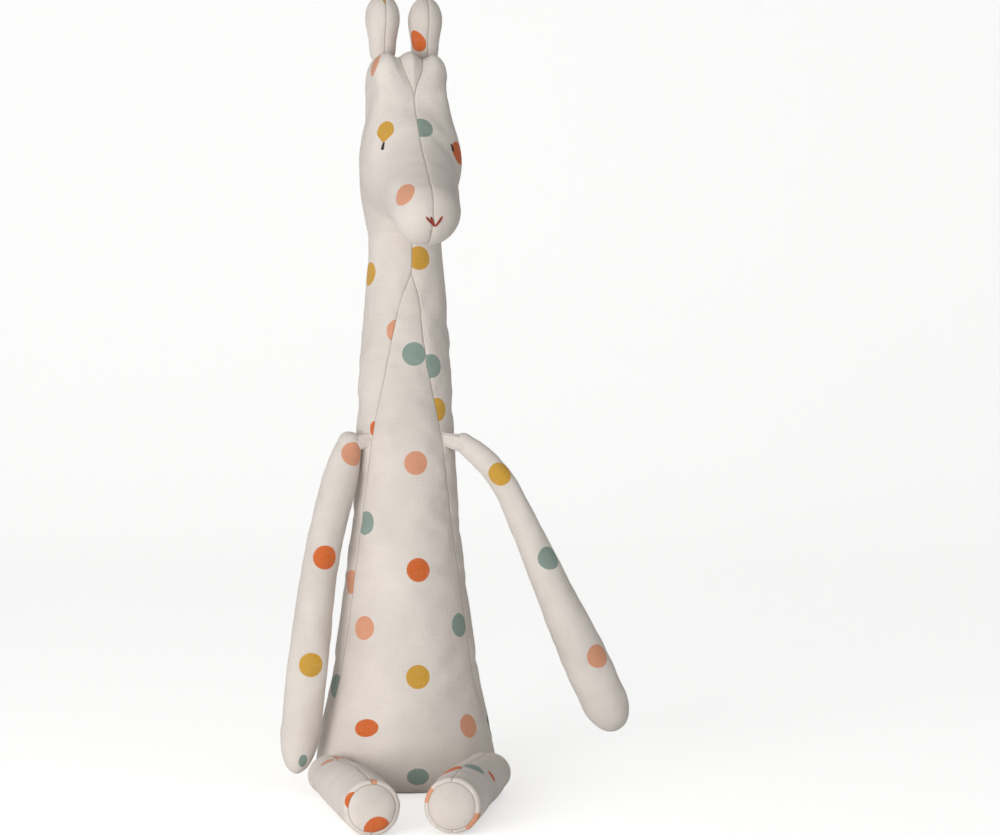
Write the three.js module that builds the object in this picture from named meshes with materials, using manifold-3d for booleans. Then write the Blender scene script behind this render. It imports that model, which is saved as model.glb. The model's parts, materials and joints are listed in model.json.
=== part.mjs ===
// A sitting soft giraffe sewn from spotted cloth, in millimetres, +Z up, facing -Y.
// Left and right are those of a viewer who looks at its face.
// Every stuffed form is a smooth solid: its cloth is a thin shell cut into panels along the seams,
// and its filling is the same form drawn in under the cloth.
import * as THREE from 'three';
import { mergeVertices } from 'three/addons/utils/BufferGeometryUtils.js';
import Module from 'manifold-3d';

const wasm = await Module();
wasm.setup();

// Cloth and gaps
const clothThickness = 1.2;
const seamGap = 0.3;
const runningGap = 0.45;

// Body and neck: a bell that narrows into a long neck with a domed end inside the head
const neckTopHeight = 345;
const baseHalfWidth = 54;
const neckHalfWidth = 20.5;
const baseDepthShare = 0.93;
const bodySwellShares = [
  [0, 0.9], [0.026, 1], [0.052, 0.985], [0.09, 0.915], [0.15, 0.76], [0.232, 0.63],
  [0.339, 0.49], [0.449, 0.345], [0.58, 0.262], [0.71, 0.205], [0.826, 0.122], [0.907, 0.04], [1, 0],
];
const bodyRingCount = 16;
const bodyRingPower = 1.35;
const domeRingCount = 4;
const bodySegments = 24;

// Front gusset: its rows as shares of the neck's height, up to its tip, and half its spread at each
const gussetTipShare = 0.88;
const gussetHeightShares = [0, 0.08, 0.18, 0.36, 0.46, 0.6, 0.667, 0.72, 0.785, 0.835, gussetTipShare];
const gussetSpreadDegrees = [95, 84, 68, 62, 59, 47, 36, 27.5, 19, 13, 3];
const gussetRowCount = 16;
const gussetColumnCount = 12;

// Head: cheeks, a squarish crown and a tapering muzzle, placed from the centre that the head nods about
const headTurnDegrees = 9.4;
const nodRangeDegrees = 25;
const nodStepCount = 3;
const throatShare = 0.6;
const throatRingCount = 3;
const cheekHalfWidth = 26.5;
const cheekHalfDepth = 27;
const cheekHalfHeight = 38;
const cheekForward = 6.8;
const cheekRise = 22;
const crownHalfWidth = 22.7;
const crownHalfDepth = 23.5;
const crownHalfHeight = 33.5;
const crownForward = 2;
const crownRise = 57;
const crownSquareness = 4.4;
const muzzleRootRadius = 24.8;
const muzzleRootForward = 20;
const muzzleRootRise = 21;
const muzzleTipRadius = 19.5;
const muzzleTipForward = 58.4;
const muzzleTipDrop = 8.1;
const headBlend = 15;
const headRingCount = 15;
const headSegments = 22;

// Crown gusset: half its width at each share of the way from its front tip to its back tip
const crownGussetHalfWidth = 7.4;
const crownGussetFrontReach = 26.4;
const crownGussetBackReach = 22;
const crownGussetShares = [
  [0, 0.06], [0.14, 0.5], [0.3, 0.86], [0.5, 1], [0.75, 0.95], [0.9, 0.55], [1, 0.06],
];
const crownGussetStepCount = 14;

// Ears, each with a broad front edge where its two panels are sewn
const earSpacing = 23.4;
const earBack = 4;
const earRootRadius = 8;
const earHalfWidth = 10.2;
const earDepthShare = 1.2;
const earLength = 28;
const earEndRound = 15;
const earSwellShares = [[0, 0], [0.2, 0.55], [0.42, 1], [1, 1]];

// Arms, each hung from a flat gathered tab on the side of the body
const shoulderHeight = 203;
const shoulderForward = 15.5;
const tabRadius = 5.5;
const tabThickness = 1.2;
const armRootRadius = 4.6;
const armDepthShare = 0.95;
const armLength = 197;
const leftArm = {
  halfWidth: 12.3,
  endRound: 29,
  swellShares: [
    [0, 0], [0.025, 0.3], [0.055, 0.58], [0.1, 0.765], [0.15, 0.83], [0.3, 0.82], [0.55, 0.93],
    [0.75, 1], [1, 1],
  ],
  leanDegrees: [15.6, 6.6],
  bendShare: 0.6,
  forwardDegrees: 4,
};
const rightArm = {
  halfWidth: 14.2,
  endRound: 21,
  swellShares: [
    [0, 0], [0.025, 0.2], [0.055, 0.29], [0.1, 0.34], [0.25, 0.39], [0.315, 0.48], [0.45, 0.63], [0.53, 0.7],
    [0.61, 0.82], [0.68, 0.93], [0.76, 1], [1, 0.97],
  ],
  leanDegrees: [52, 24.4],
  bendShare: 0.27,
  forwardDegrees: 1,
};

// Legs, sewn under the front of the body and closed by a round sole
const hipSpreadDegrees = 40;
const legRootRadius = 14.4;
const legHalfWidth = 15.2;
const legLength = 122;
const soleRound = 5;
const soleSeamInset = 2.4;
const legSwellShares = [[0, 0], [0.3, 0.45], [0.7, 0.85], [1, 1]];
const leftToeInDegrees = 9.3;
const rightToeInDegrees = 13.3;
const legRestGap = 0.4;
const hipHeight = legRootRadius + legRestGap;
const footHeight = legHalfWidth + legRestGap;

// Tail with a tuft, leaning on the back
const tailHeight = 62;
const tailRootRadius = 3.8;
const tailHalfWidth = 3.1;
const tailLength = 36;
const tailEndRound = 1.4;
const tailSwellShares = [[0, 0], [1, 1]];
const tailLeanDegrees = 24;
const tuftHalfWidth = 5.6;
const tuftLength = 21;
const tuftSwellShares = [[0, 0], [0.5, 1], [1, 1]];

// Stitched eyes and nose
const eyeHalfSpacing = 21.6;
const eyeForward = 14.3;
const eyeRise = 31.6;
const eyeLength = 4.6;
const eyeWidth = 1.7;
const eyeThickness = 0.9;
const eyeLeanDegrees = 16;
const noseHalfWidth = 5;
const noseTopDrop = 12.4;
const nosePointDrop = 18;
const noseThreadRadius = 0.75;
const noseStrandShares = [-1, -0.32, 1];
const noseStopShares = [0, 0.5, 1];
const noseStepCount = 5;

// Sides of the round sections, and steps of the searches
const earSegments = 12;
const armSegments = 12;
const legSegments = 14;
const tailSegments = 8;
const threadSegments = 6;
const eyeSegments = 12;
const searchSteps = 40;

const radians = THREE.MathUtils.degToRad;
const reach = 2 * neckTopHeight;

const clothColour = 0xded5cf;
const fillingColour = 0xf4f2ee;
const eyeColour = 0x2a2320;
const noseColour = 0x87190f;

function material(color, roughness) {
  return new THREE.MeshStandardMaterial({ color, roughness, metalness: 0 });
}

// A smooth curve through a table of [place, value] pairs
function through(table, place) {
  const last = table.length - 1;
  if (place <= table[0][0]) return table[0][1];
  if (place >= table[last][0]) return table[last][1];
  const i = table.findIndex((pair) => pair[0] > place) - 1;
  const slope = (k) => {
    const from = table[Math.max(k - 1, 0)];
    const to = table[Math.min(k + 1, last)];
    return (to[1] - from[1]) / (to[0] - from[0]);
  };
  const span = table[i + 1][0] - table[i][0];
  const t = (place - table[i][0]) / span;
  const t2 = t * t;
  const t3 = t2 * t;
  const ends = (2 * t3 - 3 * t2 + 1) * table[i][1] + (3 * t2 - 2 * t3) * table[i + 1][1];
  return ends + span * ((t3 - 2 * t2 + t) * slope(i) + (t3 - t2) * slope(i + 1));
}

// A closed surface over rings of points, with a fan to one point at each end
function closedSurface(rings, startPoint, endPoint) {
  const segments = rings[0].length;
  const points = rings.flat().concat([startPoint, endPoint]);
  const start = points.length - 2;
  const end = points.length - 1;
  const lastRing = (rings.length - 1) * segments;
  const index = [];
  for (let j = 0; j < segments; j += 1) {
    const k = (j + 1) % segments;
    index.push(start, k, j);
    index.push(end, lastRing + j, lastRing + k);
    for (let i = 0; i < lastRing; i += segments) {
      index.push(i + j, i + k, i + segments + k);
      index.push(i + j, i + segments + k, i + segments + j);
    }
  }
  const geometry = new THREE.BufferGeometry().setFromPoints(points);
  geometry.setIndex(index);
  return facingOut(geometry);
}

// Turns a closed surface the right way out, by the sign of the volume inside it
function facingOut(geometry) {
  const place = geometry.attributes.position;
  const index = geometry.index.array;
  const corner = (k) => new THREE.Vector3().fromBufferAttribute(place, index[k]);
  let volume = 0;
  for (let k = 0; k < index.length; k += 3) {
    volume += corner(k).dot(corner(k + 1).cross(corner(k + 2)));
  }
  if (volume < 0) geometry.index.array.reverse();
  return geometry;
}

// The solid inside a closed surface, drawn in under it by a distance, or grown where that is negative
function solid(geometry, drawnIn = 0) {
  const bare = new THREE.BufferGeometry();
  bare.setAttribute('position', geometry.attributes.position.clone());
  if (geometry.index) bare.setIndex(geometry.index.clone());
  const merged = mergeVertices(bare);
  merged.computeVertexNormals();
  const place = merged.attributes.position;
  const normal = merged.attributes.normal;
  const vertProperties = new Float32Array(place.count * 3);
  for (let i = 0; i < place.count; i += 1) {
    vertProperties[3 * i] = place.getX(i) - drawnIn * normal.getX(i);
    vertProperties[3 * i + 1] = place.getY(i) - drawnIn * normal.getY(i);
    vertProperties[3 * i + 2] = place.getZ(i) - drawnIn * normal.getZ(i);
  }
  const triVerts = new Uint32Array(merged.index.array);
  return new wasm.Manifold(new wasm.Mesh({ numProp: 3, vertProperties, triVerts }));
}

// All of space on one side of a plane square to an axis
function side(axis, sign, offset) {
  const box = new THREE.BoxGeometry(reach, reach, reach);
  const shift = new THREE.Vector3();
  shift[axis] = offset + sign * reach / 2;
  return solid(box.translate(shift.x, shift.y, shift.z));
}

function meshOf(name, manifold, look) {
  const shape = manifold.getMesh();
  const geometry = new THREE.BufferGeometry();
  geometry.setAttribute('position', new THREE.BufferAttribute(new Float32Array(shape.vertProperties), 3));
  geometry.setIndex(new THREE.BufferAttribute(new Uint32Array(shape.triVerts), 1));
  geometry.computeVertexNormals();
  const mesh = new THREE.Mesh(geometry, look);
  mesh.name = name;
  return mesh;
}

const cloth = (name, manifold) => meshOf(name, manifold, material(clothColour, 0.95));
const filling = (name, manifold) => meshOf(name, manifold, material(fillingColour, 1));

// The cloth over a form as a thin shell, and the filling under it
function sewn(form) {
  const outer = solid(form);
  return {
    outer,
    shell: outer.subtract(solid(form, clothThickness)),
    filling: solid(form, clothThickness + seamGap),
  };
}

// A stuffed limb along +Z from the centre of its round root, bending towards +X by its lean angles
function limbForm(limb) {
  const { rootRadius, halfWidth, depthShare = 1, length, endRound, swellShares, segments } = limb;
  const [startLean, endLean] = (limb.leanDegrees || [0, 0]).map(radians);
  const rootRings = 3;
  const shaftRings = limb.shaftRings || 8;
  const endRings = 4;
  const centre = new THREE.Vector3();
  const rings = [];
  let along = 0;

  const addRing = (place, lean, acrossWidth, acrossDepth) => {
    const ring = [];
    for (let j = 0; j < segments; j += 1) {
      const angle = 2 * Math.PI * j / segments;
      const x = acrossWidth * Math.cos(angle);
      ring.push(new THREE.Vector3(
        place.x + x * Math.cos(lean),
        acrossDepth * Math.sin(angle),
        place.z - x * Math.sin(lean),
      ));
    }
    rings.push(ring);
  };
  const leanAt = (s) => {
    const bent = THREE.MathUtils.smoothstep(s / length, 0, limb.bendShare || 1);
    return THREE.MathUtils.lerp(startLean, endLean, bent);
  };
  const direction = (lean) => new THREE.Vector3(Math.sin(lean), 0, Math.cos(lean));

  for (let k = 1; k <= rootRings; k += 1) {
    const angle = k * Math.PI / 2 / (rootRings + 1);
    const place = direction(startLean).multiplyScalar(-rootRadius * Math.cos(angle));
    addRing(place, startLean, rootRadius * Math.sin(angle), rootRadius * Math.sin(angle));
  }
  const stops = [];
  for (let k = 0; k <= shaftRings; k += 1) stops.push((length - endRound) * k / shaftRings);
  for (let k = 1; k <= endRings; k += 1) {
    stops.push(length - endRound + endRound * Math.sin(k * Math.PI / 2 / (endRings + 1)));
  }
  for (const stop of stops) {
    centre.addScaledVector(direction(leanAt((along + stop) / 2)), stop - along);
    along = stop;
    const swell = through(swellShares, stop / length);
    const past = Math.max(0, (stop - length + endRound) / endRound);
    const cap = Math.sqrt(1 - past * past);
    const acrossWidth = cap * THREE.MathUtils.lerp(rootRadius, halfWidth, swell);
    const acrossDepth = cap * THREE.MathUtils.lerp(rootRadius, halfWidth * depthShare, swell);
    addRing(centre, leanAt(stop), acrossWidth, acrossDepth);
  }
  const tip = centre.clone().addScaledVector(direction(endLean), length - along);
  return closedSurface(rings, direction(startLean).multiplyScalar(-rootRadius), tip);
}

// Body
function bodyHalfWidthAt(height) {
  const swell = through(bodySwellShares, height / neckTopHeight);
  return THREE.MathUtils.lerp(neckHalfWidth, baseHalfWidth, swell);
}

function bodyHalfDepthAt(height) {
  return bodyHalfWidthAt(height) * THREE.MathUtils.lerp(baseDepthShare, 1, height / neckTopHeight);
}

function bodyForm() {
  const rings = [];
  const addRing = (height, halfWidth, halfDepth) => {
    const ring = [];
    for (let j = 0; j < bodySegments; j += 1) {
      const angle = 2 * Math.PI * j / bodySegments;
      ring.push(new THREE.Vector3(halfWidth * Math.cos(angle), halfDepth * Math.sin(angle), height));
    }
    rings.push(ring);
  };
  for (let k = 0; k <= bodyRingCount; k += 1) {
    const height = neckTopHeight * Math.pow(k / bodyRingCount, bodyRingPower);
    addRing(height, bodyHalfWidthAt(height), bodyHalfDepthAt(height));
  }
  for (let k = 1; k <= domeRingCount; k += 1) {
    const angle = k * Math.PI / 2 / (domeRingCount + 1);
    const radius = neckHalfWidth * Math.cos(angle);
    addRing(neckTopHeight + neckHalfWidth * Math.sin(angle), radius, radius);
  }
  const top = new THREE.Vector3(0, 0, neckTopHeight + neckHalfWidth);
  return closedSurface(rings, new THREE.Vector3(), top);
}

const gussetSeams = gussetHeightShares.map((share, i) => [share, gussetSpreadDegrees[i]]);

// Everything inside the front gusset's seams, widened by a margin on each side
function gussetCutter(margin) {
  const rows = [];
  const bottom = -clothThickness;
  const tip = neckTopHeight * gussetTipShare + margin;
  for (let i = 0; i <= gussetRowCount; i += 1) {
    const height = THREE.MathUtils.lerp(bottom, tip, i / gussetRowCount);
    const spread = radians(through(gussetSeams, height / neckTopHeight)) + margin / bodyHalfWidthAt(height);
    const row = [new THREE.Vector3(0, 0, height)];
    for (let j = 0; j <= gussetColumnCount; j += 1) {
      const angle = spread * (2 * j / gussetColumnCount - 1);
      const far = 2 * baseHalfWidth;
      row.push(new THREE.Vector3(far * Math.sin(angle), -far * Math.cos(angle), height));
    }
    rows.push(row);
  }
  return solid(closedSurface(rows, new THREE.Vector3(0, 0, bottom), new THREE.Vector3(0, 0, tip)));
}

const bodySurface = bodyForm();

function buildBody() {
  const { outer, shell, filling: inner } = sewn(bodySurface);
  const aboveBase = side('z', 1, clothThickness + seamGap);
  const skin = shell.intersect(aboveBase);
  const sides = skin.subtract(gussetCutter(seamGap));
  const group = new THREE.Group();
  group.add(
    cloth('body_front_gusset', skin.intersect(gussetCutter(0))),
    cloth('body_left_side', sides.intersect(side('x', -1, -seamGap / 2))),
    cloth('body_right_side', sides.intersect(side('x', 1, seamGap / 2))),
    cloth('body_base', outer.intersect(side('z', -1, clothThickness))),
    filling('body_stuffing', inner.intersect(aboveBase)),
  );
  return group;
}

// Head, in a frame whose origin is the centre that it nods about
function ellipsoidField(point, centre, radii, squareness) {
  const share = ['x', 'y', 'z'].map((k) => Math.abs(point[k] - centre[k]) / radii[k]);
  const sum = share.reduce((total, value) => total + Math.pow(value, squareness), 0);
  return (Math.pow(sum, 1 / squareness) - 1) * Math.min(radii.x, radii.y, radii.z);
}

function taperField(point, from, to, fromRadius, toRadius) {
  const along = to.clone().sub(from);
  const share = THREE.MathUtils.clamp(point.clone().sub(from).dot(along) / along.lengthSq(), 0, 1);
  const nearest = from.clone().addScaledVector(along, share);
  return point.distanceTo(nearest) - THREE.MathUtils.lerp(fromRadius, toRadius, share);
}

function smoothUnion(a, b) {
  const h = THREE.MathUtils.clamp(0.5 + (b - a) / (2 * headBlend), 0, 1);
  return THREE.MathUtils.lerp(b, a, h) - headBlend * h * (1 - h);
}

const cheekCentre = new THREE.Vector3(0, -cheekForward, cheekRise);
const cheekRadii = new THREE.Vector3(cheekHalfWidth, cheekHalfDepth, cheekHalfHeight);
const crownCentre = new THREE.Vector3(0, -crownForward, crownRise);
const crownRadii = new THREE.Vector3(crownHalfWidth, crownHalfDepth, crownHalfHeight);
const muzzleRoot = new THREE.Vector3(0, -muzzleRootForward, muzzleRootRise);
const muzzleTip = new THREE.Vector3(0, -muzzleTipForward, -muzzleTipDrop);

function headField(point) {
  const cheeks = ellipsoidField(point, cheekCentre, cheekRadii, 2);
  const crown = ellipsoidField(point, crownCentre, crownRadii, crownSquareness);
  const muzzle = taperField(point, muzzleRoot, muzzleTip, muzzleRootRadius, muzzleTipRadius);
  return smoothUnion(smoothUnion(cheeks, crown), muzzle);
}

// Where a ray from inside the head leaves it
function headSurface(from, direction) {
  let inside = 0;
  let outside = 4 * cheekHalfHeight;
  const at = (distance) => from.clone().addScaledVector(direction, distance);
  for (let step = 0; step < searchSteps; step += 1) {
    const middle = (inside + outside) / 2;
    if (headField(at(middle)) < 0) inside = middle;
    else outside = middle;
  }
  return at(inside);
}

function headForm() {
  const axis = muzzleTip.clone().sub(crownCentre).normalize();
  const across = new THREE.Vector3(1, 0, 0);
  const up = across.clone().cross(axis);
  const ray = (angle, around) => axis.clone().multiplyScalar(Math.cos(angle))
    .addScaledVector(across, Math.sin(angle) * Math.cos(around))
    .addScaledVector(up, Math.sin(angle) * Math.sin(around));
  const rings = [];
  for (let i = 1; i <= headRingCount; i += 1) {
    const ring = [];
    for (let j = 0; j < headSegments; j += 1) {
      const direction = ray(Math.PI * i / (headRingCount + 1), 2 * Math.PI * j / headSegments);
      ring.push(headSurface(muzzleRoot, direction));
    }
    rings.push(ring);
  }
  const front = headSurface(muzzleRoot, axis);
  const back = headSurface(muzzleRoot, axis.clone().negate());
  return closedSurface(rings, front, back);
}

const headShape = headForm();

// Where a piece sits on the faceted head: the nearest point met by a ray that comes back along a direction
function headSeat(from, direction) {
  const target = new THREE.Mesh(headShape);
  const start = from.clone().addScaledVector(direction, reach);
  const [hit] = new THREE.Raycaster(start, direction.clone().negate()).intersectObject(target);
  return { point: hit.point, normal: hit.face.normal.clone() };
}

// The way out of the head's smooth form at a point
function headNormal(point) {
  const slope = new THREE.Vector3();
  for (const axis of ['x', 'y', 'z']) {
    const ahead = point.clone();
    const behind = point.clone();
    ahead[axis] += seamGap;
    behind[axis] -= seamGap;
    slope[axis] = headField(ahead) - headField(behind);
  }
  return slope.normalize();
}

// The neck as the head sees it through the whole nod: its dome, and its shaft at each step
function neckCutter() {
  const shaft = [];
  for (let k = 0; k <= throatRingCount; k += 1) {
    const height = neckTopHeight * THREE.MathUtils.lerp(throatShare, 1, k / throatRingCount);
    const radius = bodyHalfWidthAt(height) + runningGap;
    const ring = [];
    for (let j = 0; j < bodySegments; j += 1) {
      const angle = 2 * Math.PI * j / bodySegments;
      const rise = height - neckTopHeight;
      ring.push(new THREE.Vector3(radius * Math.cos(angle), radius * Math.sin(angle), rise));
    }
    shaft.push(ring);
  }
  const foot = new THREE.Vector3(0, 0, neckTopHeight * (throatShare - 1));
  const shaftSurface = closedSurface(shaft, foot, new THREE.Vector3());
  let swept = solid(new THREE.SphereGeometry(neckHalfWidth + runningGap, bodySegments, 2 * domeRingCount));
  for (let step = 0; step <= nodStepCount; step += 1) {
    const turned = shaftSurface.clone().rotateX(radians(nodRangeDegrees) * step / nodStepCount);
    swept = swept.add(solid(turned));
  }
  return swept;
}

// Everything above the crown gusset's lens-shaped outline, widened by a margin
function crownCutter(margin) {
  const outline = [];
  const edge = (sign, k) => {
    const share = k / crownGussetStepCount;
    const halfWidth = crownGussetHalfWidth * through(crownGussetShares, share) + margin;
    const y = THREE.MathUtils.lerp(-crownGussetFrontReach - margin, crownGussetBackReach + margin, share);
    outline.push(new THREE.Vector2(sign * halfWidth, y));
  };
  for (let k = 0; k <= crownGussetStepCount; k += 1) edge(1, k);
  for (let k = crownGussetStepCount; k >= 0; k -= 1) edge(-1, k);
  const shape = new THREE.Shape(outline);
  const prism = new THREE.ExtrudeGeometry(shape, { depth: crownRise, bevelEnabled: false });
  return solid(prism.translate(0, 0, crownRise));
}

function buildEye(name, sign) {
  const eye = new THREE.SphereGeometry(1, eyeSegments, eyeSegments / 2);
  eye.scale(eyeWidth / 2, eyeLength / 2, eyeThickness / 2);
  eye.rotateZ(sign * radians(eyeLeanDegrees));
  const start = new THREE.Vector3(0, -muzzleRootForward, eyeRise);
  const toEye = new THREE.Vector3(sign * eyeHalfSpacing, -eyeForward, 0).normalize();
  const seat = headSeat(start, toEye);
  const upward = new THREE.Vector3(0, 0, 1).addScaledVector(seat.normal, -seat.normal.z).normalize();
  const sideways = upward.clone().cross(seat.normal);
  const basis = new THREE.Matrix4().makeBasis(sideways, upward, seat.normal);
  basis.setPosition(seat.point.addScaledVector(seat.normal, eyeThickness / 2 + seamGap));
  eye.applyMatrix4(basis);
  return meshOf(name, solid(eye), material(eyeColour, 0.7));
}

// Nose: three straight stitches that meet at the point of a V, each a thread laid over the muzzle
function buildNose() {
  const onFace = (x, drop) => {
    const seat = headSeat(new THREE.Vector3(x, -muzzleTipForward, -drop), new THREE.Vector3(0, -1, 0));
    return seat.point.addScaledVector(seat.normal, noseThreadRadius + seamGap);
  };
  const section = new THREE.Shape();
  section.absarc(0, 0, noseThreadRadius, 0, 2 * Math.PI);
  let stitches = null;
  for (const widthShare of noseStrandShares) {
    const stops = noseStopShares.map((share) => onFace(
      noseHalfWidth * widthShare * (1 - share),
      THREE.MathUtils.lerp(noseTopDrop, nosePointDrop, share),
    ));
    const strand = new THREE.ExtrudeGeometry(section, {
      steps: noseStepCount,
      curveSegments: threadSegments / 2,
      extrudePath: new THREE.CatmullRomCurve3(stops),
    });
    stitches = stitches ? stitches.add(solid(strand)) : solid(strand);
  }
  return meshOf('nose_stitches', stitches, material(noseColour, 0.6));
}

function buildEar(name, sign) {
  const start = new THREE.Vector3(sign * earSpacing / 2, earBack, crownRise);
  const seat = headSeat(start, new THREE.Vector3(0, 0, 1)).point;
  const ear = sewn(limbForm({
    rootRadius: earRootRadius,
    halfWidth: earHalfWidth,
    depthShare: earDepthShare,
    length: earLength,
    endRound: earEndRound,
    swellShares: earSwellShares,
    segments: earSegments,
    shaftRings: 4,
  }));
  const group = new THREE.Group();
  group.name = name;
  group.position.copy(seat).addScaledVector(headNormal(seat), earRootRadius + runningGap);
  group.add(
    cloth(`${name}_outer`, ear.shell.intersect(side('x', sign, sign * seamGap / 2))),
    cloth(`${name}_inner`, ear.shell.intersect(side('x', -sign, -sign * seamGap / 2))),
    filling(`${name}_stuffing`, ear.filling),
  );
  return group;
}

function buildHead() {
  const { shell, filling: inner } = sewn(headShape);
  const neck = neckCutter();
  const skin = shell.subtract(neck);
  const sides = skin.subtract(crownCutter(seamGap));
  const group = new THREE.Group();
  group.name = 'head';
  group.position.z = neckTopHeight;
  group.rotation.z = radians(headTurnDegrees);
  group.add(
    cloth('head_left_side', sides.intersect(side('x', -1, -seamGap / 2))),
    cloth('head_right_side', sides.intersect(side('x', 1, seamGap / 2))),
    cloth('head_crown', skin.intersect(crownCutter(0))),
    filling('head_stuffing', inner.subtract(neck)),
    buildEye('left_eye', -1),
    buildEye('right_eye', 1),
    buildNose(),
    buildEar('left_ear', -1),
    buildEar('right_ear', 1),
  );
  return group;
}

// Arm and the tab that it hangs from, which lies flat to the side of the body
function buildArm(name, sign, shape) {
  const nearest = shoulderForward - tabRadius;
  const acrossShare = nearest / bodyHalfDepthAt(shoulderHeight - tabRadius);
  const flank = bodyHalfWidthAt(shoulderHeight - tabRadius) * Math.sqrt(1 - acrossShare * acrossShare);
  const tab = new THREE.CylinderGeometry(tabRadius, tabRadius, tabThickness, armSegments);
  tab.rotateZ(Math.PI / 2);
  const tabMesh = cloth(`${name}_tab`, solid(tab));
  const tabInner = flank + seamGap;
  tabMesh.position.set(sign * (tabInner + tabThickness / 2), -shoulderForward, shoulderHeight);

  const arm = sewn(limbForm({
    ...shape,
    rootRadius: armRootRadius,
    depthShare: armDepthShare,
    length: armLength,
    segments: armSegments,
    leanDegrees: shape.leanDegrees.map((degrees) => -sign * degrees),
    shaftRings: 10,
  }));
  const hung = new THREE.Group();
  hung.name = name;
  const pivotX = sign * (tabInner + tabThickness + seamGap + armRootRadius);
  hung.position.set(pivotX, -shoulderForward, shoulderHeight);
  hung.rotation.set(-radians(shape.forwardDegrees), Math.PI, 0);
  hung.add(
    cloth(`${name}_front`, arm.shell.intersect(side('y', -1, -seamGap / 2))),
    cloth(`${name}_back`, arm.shell.intersect(side('y', 1, seamGap / 2))),
    filling(`${name}_stuffing`, arm.filling),
  );
  const group = new THREE.Group();
  group.add(tabMesh, hung);
  return group;
}

function buildLeg(name, sign, toeInDegrees) {
  const spread = radians(hipSpreadDegrees);
  const out = legRootRadius + runningGap;
  const leg = sewn(limbForm({
    rootRadius: legRootRadius,
    halfWidth: legHalfWidth,
    length: legLength,
    endRound: soleRound,
    swellShares: legSwellShares,
    segments: legSegments,
    shaftRings: 5,
  }));
  const seam = legLength - soleSeamInset;
  const sleeve = leg.shell.intersect(side('z', -1, seam - seamGap / 2));
  const group = new THREE.Group();
  group.name = name;
  group.position.set(
    sign * (bodyHalfWidthAt(hipHeight) + out) * Math.sin(spread),
    -(bodyHalfDepthAt(hipHeight) + out) * Math.cos(spread),
    hipHeight,
  );
  group.rotation.z = -sign * radians(toeInDegrees);
  const along = new THREE.Group();
  along.rotation.x = Math.PI / 2 + Math.asin((hipHeight - footHeight) / legLength);
  along.add(
    cloth(`${name}_outer_side`, sleeve.intersect(side('x', sign, sign * seamGap / 2))),
    cloth(`${name}_inner_side`, sleeve.intersect(side('x', -sign, -sign * seamGap / 2))),
    cloth(`${name}_sole`, leg.shell.intersect(side('z', 1, seam + seamGap / 2))),
    filling(`${name}_stuffing`, leg.filling),
  );
  group.add(along);
  return group;
}

function buildTail() {
  const tube = limbForm({
    rootRadius: tailRootRadius,
    halfWidth: tailHalfWidth,
    length: tailLength,
    endRound: tailEndRound,
    swellShares: tailSwellShares,
    segments: tailSegments,
    shaftRings: 4,
  });
  const tuft = limbForm({
    rootRadius: tailHalfWidth,
    halfWidth: tuftHalfWidth,
    length: tuftLength,
    endRound: tuftLength / 2,
    swellShares: tuftSwellShares,
    segments: tailSegments,
    shaftRings: 3,
  });
  tuft.translate(0, 0, tailLength + seamGap + tailHalfWidth);
  const group = new THREE.Group();
  group.name = 'tail';
  group.position.set(0, bodyHalfDepthAt(tailHeight) + tailRootRadius + runningGap, tailHeight);
  group.rotation.x = Math.PI + radians(tailLeanDegrees);
  group.add(cloth('tail_tube', solid(tube)), cloth('tail_tuft', solid(tuft)));
  return group;
}

const giraffe = new THREE.Group();
giraffe.add(
  buildBody(),
  buildHead(),
  buildArm('left_arm', -1, leftArm),
  buildArm('right_arm', 1, rightArm),
  buildLeg('left_leg', -1, leftToeInDegrees),
  buildLeg('right_leg', 1, rightToeInDegrees),
  buildTail(),
);

export default giraffe;
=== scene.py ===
import itertools
import json
import math

import bmesh
import bpy
import numpy as np
from mathutils import Matrix, Vector, noise
from mathutils.bvhtree import BVHTree
from mathutils.kdtree import KDTree

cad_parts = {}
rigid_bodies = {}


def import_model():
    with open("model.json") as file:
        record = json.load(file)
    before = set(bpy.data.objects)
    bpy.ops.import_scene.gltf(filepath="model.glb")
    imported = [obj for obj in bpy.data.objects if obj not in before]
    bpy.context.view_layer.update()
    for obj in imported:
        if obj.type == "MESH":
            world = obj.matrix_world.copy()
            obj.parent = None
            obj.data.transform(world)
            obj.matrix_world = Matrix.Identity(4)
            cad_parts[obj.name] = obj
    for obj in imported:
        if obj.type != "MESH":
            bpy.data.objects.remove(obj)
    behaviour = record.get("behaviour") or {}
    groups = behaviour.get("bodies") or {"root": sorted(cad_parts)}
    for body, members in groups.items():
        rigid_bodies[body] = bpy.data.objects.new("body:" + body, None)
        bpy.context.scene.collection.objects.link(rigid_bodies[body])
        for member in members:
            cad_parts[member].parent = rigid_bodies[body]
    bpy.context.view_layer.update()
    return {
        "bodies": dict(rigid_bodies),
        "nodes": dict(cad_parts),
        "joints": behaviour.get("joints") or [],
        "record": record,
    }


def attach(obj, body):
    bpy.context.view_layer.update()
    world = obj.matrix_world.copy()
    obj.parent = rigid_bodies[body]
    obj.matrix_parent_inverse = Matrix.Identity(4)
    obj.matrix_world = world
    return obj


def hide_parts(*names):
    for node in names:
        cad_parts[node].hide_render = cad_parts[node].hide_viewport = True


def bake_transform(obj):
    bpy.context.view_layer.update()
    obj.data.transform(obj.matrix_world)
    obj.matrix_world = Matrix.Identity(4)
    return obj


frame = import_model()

mm = 0.001
joints = {joint["name"]: joint for joint in frame["joints"]}
print("frame loaded,", len(frame["nodes"]), "nodes")


def pivotOf(jointName):
    return np.array(joints[jointName]["pos_m"]) / mm


# camera, floor and light

photo = {
    "wide": 1000, "high": 835,  # pixels
    "pixelSize": 0.6,  # mm at the toy's axis
    "axisX": 405.5, "horizonY": 389,  # pixels
    "cameraHeight": 235, "distance": 1300,  # mm
    "azimuth": -5,  # degrees round the toy
    "sensor": 36,
}


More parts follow.
